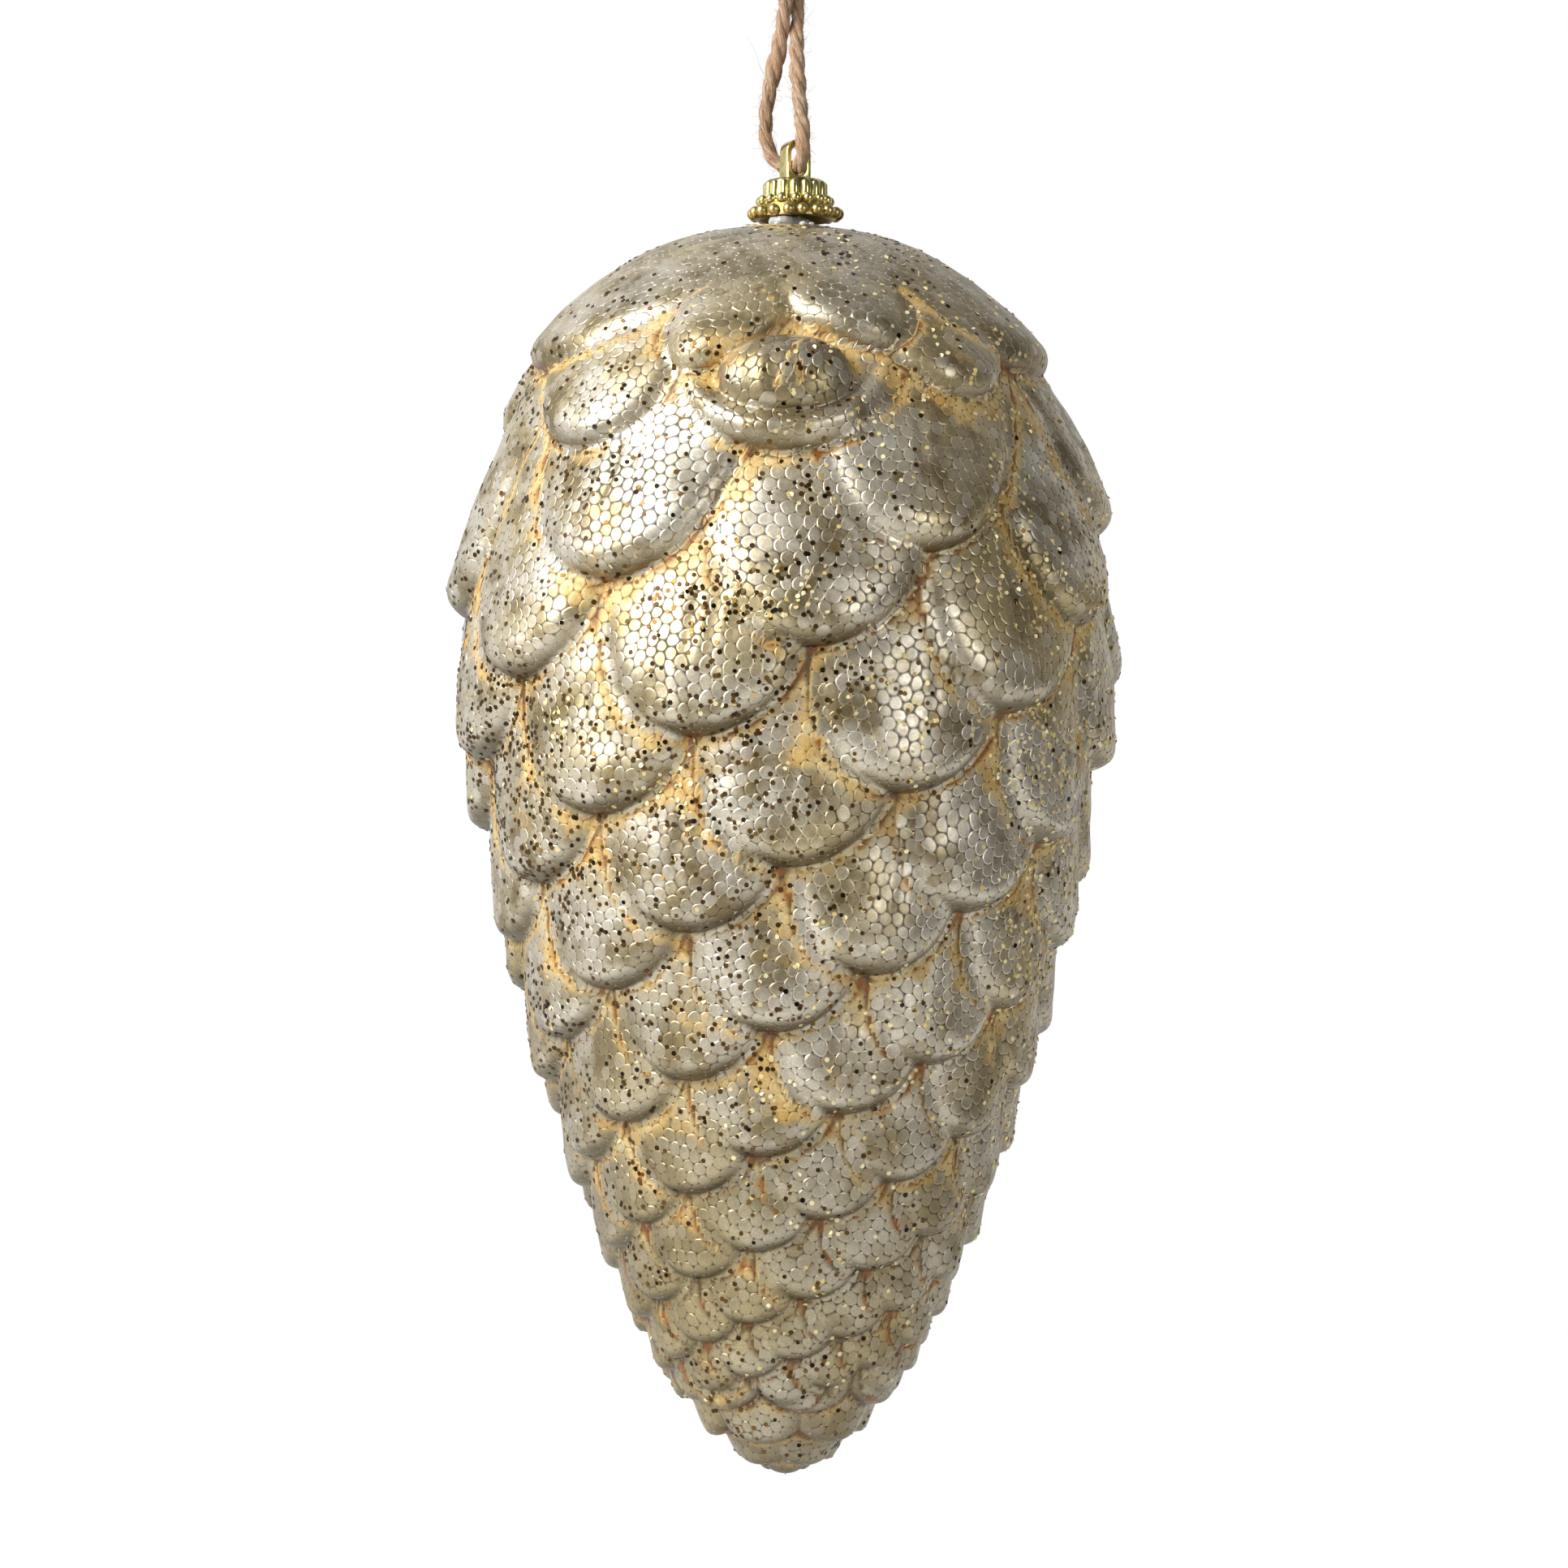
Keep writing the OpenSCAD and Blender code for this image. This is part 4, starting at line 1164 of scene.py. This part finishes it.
# Two copies of one gold glitter: painted shade and painted glints
shaded_flake_finish = flake_material("glitter_painted_shade", rgb(22, 15, 8), rgb(116, 86, 40), 0.8)
lit_flake_finish = flake_material("glitter_painted_glint", rgb(244, 214, 130), rgb(255, 246, 200), 0.2)
for name, chosen, material, tilt in (("glitter_shaded", ~is_lit_flake, shaded_flake_finish, 0.10),
                                     ("glitter_lit", is_lit_flake, lit_flake_finish, 0.3)):
    sizes = flake_rng.uniform(0.85, 1.1, chosen.sum())
    mesh = lay_copies(name, flake, flake_places[chosen], flake_normals[chosen], tilt, flake_rng, sizes)
    link(name, mesh, material)
    print(name, chosen.sum(), "flakes")

# %% [markdown]
# ## Jute finish
# Jute is dull and streaky, so its colour and bump are noise drawn out along the plies. Single
# fibres catch more light and are given a paler and plainer colour than the twine.

# %% Jute
def jute():
    material, tree, shader = new_material("jute")
    flat = add(tree, "ShaderNodeUVMap", uv_map="UVMap").outputs[0]
    place = add(tree, "ShaderNodeTexCoord").outputs["Object"]
    drawn_out = {"Vector": flat, "Scale": (5200, 420, 1), "Rotation": (0, 0, 0.35)}
    along = add(tree, "ShaderNodeMapping", drawn_out).outputs[0]
    streak = noise_of(tree, along, 1.0, 4, 0.7, 0.4)
    slow = noise_of(tree, place, 160, 2)
    colour = blend(tree, ramp(tree, streak, 0.32, 0.66), rgb(120, 88, 62), rgb(236, 206, 176))
    colour = blend(tree, ramp(tree, slow, 0.35, 0.7, 0.0, 0.5), colour, rgb(194, 150, 116))
    feed(tree, shader, {"Base Color": colour, "Roughness": 0.85, "Specular IOR Level": 0.25,
                        "Normal": bump(tree, streak, 0.9, 0.28 * MM)})
    return material


def fibre_finish():
    material, tree, shader = new_material("jute_fibres")
    place = add(tree, "ShaderNodeTexCoord").outputs["Object"]
    tone = ramp(tree, noise_of(tree, place, 500, 2), 0.35, 0.65)
    colour = blend(tree, tone, rgb(172, 134, 102), rgb(226, 196, 164))
    feed(tree, shader, {"Base Color": colour, "Roughness": 0.7})
    return material


jute_finish = jute()
twine = link("twine", twine_mesh, jute_finish)
knot = link("knot", knot_mesh, jute_finish)
fibres = link("twine_fibres", fibres_mesh, fibre_finish())
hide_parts("twine_strands", "twine_loop")
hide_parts("twine_knot")
print("twine: material", jute_finish.name, "length", round(twine_at[-1] * 1000, 1), "mm")

# %% [markdown]
# ## Gilt cap
# The cap is one gold metallised moulding: a hollow shell with two rings of beads, a ribbed drum
# and a flat shank with an eye. The shell is a profile spun about the axis. Beads and ribs are
# spheres, the ribs drawn out upwards. The shank is a filled outline with a round bevel.

# %% Shell, beads and ribs
CAP_AXIS = Vector((1 * MM, 0, -83.6 * MM))
CAP_H = 8.1 * MM
shell_profile = [(7.6, 0), (8.2, 0), (8.45, 0.2), (8.45, 1.4), (7.2, 3.1), (7.1, 3.5), (6, 3.6), (6, 7.5),
                 (5.9, 7.8), (5.7, 8), (5.4, 8.1), (0, 8.15), (0, 7), (4.9, 7), (4.9, 2.45), (7.6, 0)]
# Name, how many, radius of the ring, height, radius of each, and how far it is drawn up, in mm
rounds = [
    ("lower bead", 18, 8.7, 1.2, 1.22, 0),
    ("upper bead", 16, 6.95, 3.7, 1.12, 0),
    ("rib", 16, 5.6, 4.2, 1.03, 2.65),
]


def spun_shell():
    bm = bmesh.new()
    ring = [bm.verts.new((r * MM, 0, z * MM)) for r, z in shell_profile]
    edges = [bm.edges.new(pair) for pair in zip(ring[:-1], ring[1:])]
    bmesh.ops.spin(bm, geom=ring + edges, axis=(0, 0, 1), cent=(0, 0, 0), angle=2 * math.pi,
                   steps=96, use_merge=True)
    bmesh.ops.remove_doubles(bm, verts=bm.verts, dist=0.001 * MM)
    bmesh.ops.recalc_face_normals(bm, faces=bm.faces)
    return bm


def add_rounds(bm, rng):
    """Beads and ribs set round the axis, with the small differences of a moulding."""
    for _, count, ring_r, z, radius, drawn in rounds:
        for k in range(count):
            made = bmesh.ops.create_uvsphere(bm, u_segments=18, v_segments=12, radius=radius * MM)
            made = made["verts"]
            for vert in made:
                if vert.co.z > 0.01 * MM:
                    vert.co.z += drawn * MM
            size = rng.uniform(0.93, 1.05)
            bmesh.ops.scale(bm, vec=(size, size, size if not drawn else 1), verts=made)
            turn = Matrix.Rotation(2 * math.pi / count * (k + rng.uniform(-0.06, 0.06)), 4, "Z")
            place = turn @ Matrix.Translation((ring_r * MM, 0, z * MM))
            bmesh.ops.transform(bm, matrix=place, verts=made)


# %% Shank with its eye
SHANK_T, SHANK_BEVEL = 3.3 * MM, 0.25 * MM
CAP_TURN = math.radians(28)
# The stem and its point: length, radius below and above, and height of the middle, in mm
stem = [(19.5, 2.2, 2.2, -9.25), (3, 1.1, 2.2, -20.5)]


def half_circle(radius, level, start):
    """Points on half a circle about the middle line, from a starting angle."""
    turns = np.linspace(start, start + math.pi, 33)
    return [(radius * math.cos(a), level + radius * math.sin(a)) for a in turns]


def slot_outline(half_w, low, high, flat_foot):
    """A closed upright outline with a round top, and a round or flat foot, in millimetres."""
    foot = [(-half_w, low), (half_w, low)] if flat_foot else half_circle(half_w, low, math.pi)
    return half_circle(half_w, high, 0) + foot


def shank_mesh():
    bevel = SHANK_BEVEL / MM
    curve = bpy.data.curves.new("shank", "CURVE")
    curve.dimensions = "2D"
    curve.fill_mode = "BOTH"
    curve.extrude = SHANK_T / 2 - SHANK_BEVEL
    curve.bevel_depth = SHANK_BEVEL
    curve.bevel_resolution = 3
    plate = slot_outline(2.8 - bevel, -0.4, 5.5, True)
    eye = slot_outline(1.7 + bevel, 2.6, 5.2, False)
    for outline in (plate, eye):
        spline = curve.splines.new("POLY")
        spline.points.add(len(outline) - 1)
        for point, (x, y) in zip(spline.points, outline):
            point.co = (x * MM, y * MM, 0, 1)
        spline.use_cyclic_u = True
    mesh = curve_mesh("shank", curve)
    upright = Matrix.Rotation(CAP_TURN, 4, "Z") @ Matrix.Rotation(math.pi / 2, 4, "X")
    mesh.transform(Matrix.Translation((0, 0, CAP_H)) @ upright)
    return mesh


# %% Whole cap
def build_cap():
    bm = spun_shell()
    shell_count = len(bm.verts)
    add_rounds(bm, np.random.default_rng(4))
    shank = shank_mesh()
    bm.from_mesh(shank)
    bpy.data.meshes.remove(shank)
    for length, foot_r, top_r, z in stem:
        bmesh.ops.create_cone(bm, cap_ends=True, segments=32, radius1=foot_r * MM, radius2=top_r * MM,
                              depth=length * MM, matrix=Matrix.Translation((0, 0, z * MM)))
    bmesh.ops.remove_doubles(bm, verts=bm.verts, dist=0.001 * MM)
    mesh = to_mesh("gilt_cap", bm)
    # Dulled gilt and painted shade on the shell, behind the beads and ribs
    shell_grime_and_shade = np.zeros(len(mesh.vertices))
    shell_grime_and_shade[:shell_count] = 1
    mark(mesh, "grime_and_shade", shell_grime_and_shade)
    mesh.transform(Matrix.Translation(CAP_AXIS))
    mesh.set_sharp_from_angle(angle=math.radians(40))
    return mesh


cap_mesh = build_cap()
print("cap: faces", len(cap_mesh.polygons))

# %% [markdown]
# ## Hot glue
# A run of clear hot glue fills part of the space between the cone's seat and the cap's flange.
# It bulges on the left and in front and leaves a dark gap on the right. A closed ring is bent
# from a grid whose outer radius changes with the angle, and small drips lie round it.

# %% Glue
GLUE_TOP, GLUE_FOOT = -83.55 * MM, -85.9 * MM
GLUE_COLUMNS, GLUE_RINGS = 120, 28
GLUE_INNER_R, GLUE_SQUARENESS = 2.45, 0.45
DRIP_FLATNESS, DRIP_LUMPS = 0.62, 0.16
RUN_OUT, RUN_TURN = 5.5, math.radians(240)
# Drips round it: place across, place to the back, and radius, in millimetres
drips = [(-9.6, -3.2, 1.3), (-8.4, -4.8, 0.9), (-10.2, -0.5, 1.0), (-3.4, -9.6, 0.9), (1.6, -9.4, 0.8),
         (3.2, -9.0, 0.6), (-6.4, 7.6, 1.1), (7.6, 5.4, 0.9)]


def glue_reach(angle):
    """Outer radius of the glue in millimetres: it runs out in front on the left, and nowhere else."""
    facing = np.maximum(np.cos(angle - RUN_TURN), 0) ** 4
    lumps = 0.15 * np.sin(3 * angle + 1) + 0.12 * np.sin(7 * angle + 2.4) + 0.1 * np.sin(13 * angle)
    return 2.95 + RUN_OUT * facing + lumps * (1 + 2 * facing)


def build_glue():
    angle = np.linspace(0, 2 * np.pi, GLUE_COLUMNS + 1)
    v = np.linspace(0, 2 * np.pi, GLUE_RINGS + 1)[:, None]
    outer = glue_reach(angle)[None, :]
    middle, half = (outer + GLUE_INNER_R) / 2, (outer - GLUE_INNER_R) / 2
    square = 1 / np.maximum(np.abs(np.cos(v)), np.abs(np.sin(v))) ** GLUE_SQUARENESS
    r = (middle + half * np.cos(v) * square) * MM
    z = (GLUE_TOP + GLUE_FOOT) / 2 + (GLUE_TOP - GLUE_FOOT) / 2 * np.clip(np.sin(v) * square, -1, 1)
    z = z + 0 * r
    points = np.stack([CAP_AXIS.x + r * np.cos(angle)[None, :], r * np.sin(angle)[None, :], z], axis=2)
    mesh, _, _ = bend_grid("hot_glue", GLUE_COLUMNS, GLUE_RINGS, points)
    weld(mesh, fill=False)
    bm = bmesh.new()
    bm.from_mesh(mesh)
    rng = np.random.default_rng(9)
    for x, y, radius in drips:
        made = bmesh.ops.create_icosphere(bm, subdivisions=3, radius=radius * MM)["verts"]
        for vert in made:
            right, back, up = vert.co
            push = 1 + DRIP_LUMPS * math.sin(right * 2600 + x) * math.sin(back * 2300 + y)
            vert.co = (right * push * rng.uniform(1, 1.02), back * push, up * DRIP_FLATNESS)
        drop = 0.55 * max(math.hypot(x, y) - 10, 0)
        at = (CAP_AXIS.x + x * MM, y * MM, GLUE_FOOT + (0.35 - drop) * MM)
        bmesh.ops.translate(bm, verts=made, vec=at)
    return to_mesh("hot_glue", bm)


glue_mesh = build_glue()
print("glue: faces", len(glue_mesh.polygons))

# %% [markdown]
# ## Finishes of the cap and the glue
# The gilt is a thin bright metal film under lacquer. The shell, seen in the corners between beads
# and ribs, is darker, partly dulled gilt and partly painted shade, which a mask on the shell marks.
# Hot glue is milky inside with a wet looking skin.

# %% Gilt and glue
def gilt():
    material, tree, shader = new_material("gilt")
    place = add(tree, "ShaderNodeTexCoord").outputs["Object"]
    cloud = noise_of(tree, place, 420, 3, 0.6)
    specks = noise_of(tree, place, 2600, 3, 0.7)
    colour = blend(tree, ramp(tree, cloud, 0.35, 0.65), rgb(244, 232, 166), rgb(214, 200, 124))
    colour = blend(tree, ramp(tree, specks, 0.5, 0.75, 0.0, 0.45), colour, rgb(140, 112, 56))
    level = add(tree, "ShaderNodeSeparateXYZ", {0: place}).outputs["Z"]
    dull = ramp(tree, level, CAP_AXIS.z + 2.0 * MM, CAP_AXIS.z + 4.2 * MM, 1.0, 0.0)
    colour = blend(tree, calc(tree, "MULTIPLY", dull, 0.6), colour, rgb(172, 140, 84))
    # Dulled gilt and painted shade on the shell
    colour = blend(tree, calc(tree, "MULTIPLY", fact(tree, "grime_and_shade"), 0.55), colour, rgb(96, 76, 36))
    rough = ramp(tree, cloud, 0.3, 0.7, 0.1, 0.22)
    rough = calc(tree, "ADD", rough, calc(tree, "MULTIPLY", dull, 0.2))
    feed(tree, shader, {"Base Color": colour, "Metallic": 1.0, "Roughness": rough,
                        "Normal": bump(tree, specks, 0.25, 0.05 * MM)})
    return material


def glue_finish():
    material, tree, shader = new_material("hot_glue")
    place = add(tree, "ShaderNodeTexCoord").outputs["Object"]
    cloud = noise_of(tree, place, 600, 3, 0.6)
    colour = blend(tree, ramp(tree, cloud, 0.35, 0.65), rgb(222, 220, 212), rgb(168, 168, 166))
    rough = ramp(tree, cloud, 0.3, 0.7, 0.15, 0.4)
    feed(tree, shader, {"Base Color": colour, "Roughness": rough, "Coat Weight": 0.6,
                        "Coat Roughness": 0.12, "Normal": bump(tree, cloud, 0.4, 0.25 * MM)})
    return material


cap = link("gilt_cap", cap_mesh, gilt())
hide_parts("cap")
glue = link("hot_glue", glue_mesh, glue_finish())
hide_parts("glue_bead")
print("cap and glue dressed")

# %% [markdown]
# ## Studio
# The ornament hangs in front of white. A pale floor lies far below it, out of the photo's view,
# and fades to white at its rim. A large soft lamp stands on the left, a weaker one on the right.

# %% Floor, world and lamps
FLOOR_Z, FLOOR_R = -0.62, 1.3
FLOOR_GREY, FLOOR_LIFT = 0.62, 0.55
AMBIENT = 0.11
LAMP_AIM = Vector((0, 0, -0.2))


def add_floor():
    bm = bmesh.new()
    bmesh.ops.create_circle(bm, cap_ends=True, segments=96, radius=FLOOR_R)
    floor = bpy.data.objects.new("floor", to_mesh("floor", bm))
    floor.location.z = FLOOR_Z
    bpy.context.scene.collection.objects.link(floor)
    material, tree, shader = new_material("pale_floor")
    grey = (FLOOR_GREY, FLOOR_GREY, FLOOR_GREY, 1)
    feed(tree, shader, {"Base Color": grey, "Roughness": 0.9, "Specular IOR Level": 0.1})
    place = add(tree, "ShaderNodeTexCoord").outputs["Object"]
    away = add(tree, "ShaderNodeVectorMath", {0: place}, operation="LENGTH").outputs["Value"]
    rim = ramp(tree, away, 0.5 * FLOOR_R, 0.98 * FLOOR_R)
    rays = add(tree, "ShaderNodeLightPath").outputs
    seen = calc(tree, "MAXIMUM", rays["Is Camera Ray"], rays["Is Glossy Ray"])
    seen = calc(tree, "MAXIMUM", seen, rays["Is Transmission Ray"])
    white = add(tree, "ShaderNodeEmission", {"Color": (1, 1, 1, 1), "Strength": 1.0}).outputs[0]
    lift = {"Color": (1, 1, 1, 1), "Strength": calc(tree, "MULTIPLY", seen, FLOOR_LIFT)}
    lift = add(tree, "ShaderNodeEmission", lift).outputs[0]
    lit = add(tree, "ShaderNodeAddShader", {0: shader.outputs[0], 1: lift}).outputs[0]
    faded = calc(tree, "MULTIPLY", rim, seen)
    both = add(tree, "ShaderNodeMixShader", {0: faded, 1: lit, 2: white}).outputs[0]
    feed(tree, tree.nodes["Material Output"], {"Surface": both})
    floor.data.materials.append(material)


def light_world():
    world = bpy.data.worlds.new("studio")
    world.use_nodes = True
    bpy.context.scene.world = world
    tree = world.node_tree
    rays = add(tree, "ShaderNodeLightPath").outputs
    direction = add(tree, "ShaderNodeTexCoord").outputs["Generated"]
    x, y, _ = add(tree, "ShaderNodeSeparateXYZ", {0: direction}).outputs
    behind = ramp(tree, y, 0.0, 0.8, 0.0, 0.7)
    left = ramp(tree, x, -0.95, 0.2, 0.7, 0.12)
    reflected = calc(tree, "MAXIMUM", behind, left)
    strength = blend(tree, rays["Is Glossy Ray"], (AMBIENT, AMBIENT, AMBIENT, 1), reflected)
    seen = calc(tree, "MAXIMUM", rays["Is Camera Ray"], rays["Is Transmission Ray"])
    strength = blend(tree, seen, strength, (1, 1, 1, 1))
    feed(tree, tree.nodes["Background"], {"Strength": strength, "Color": (1, 1, 1, 1)})


def add_lamp(name, place, size, power):
    data = bpy.data.lights.new(name, "AREA")
    data.shape = "RECTANGLE"
    data.size, data.size_y = size
    data.energy = power
    lamp = bpy.data.objects.new(name, data)
    lamp.location = place
    lamp.rotation_euler = (LAMP_AIM - Vector(place)).to_track_quat("-Z", "Y").to_euler()
    bpy.context.scene.collection.objects.link(lamp)


add_floor()
light_world()
add_lamp("key", (-0.84, -0.55, 0.4), (0.6, 0.9), 20)
add_lamp("fill", (0.8, -1.0, 0.0), (0.5, 0.7), 3.9)
add_lamp("top", (-0.5, 0.1, 0.9), (0.7, 0.7), 0.4)
bpy.context.scene.view_settings.view_transform = "Standard"
print("studio ready")
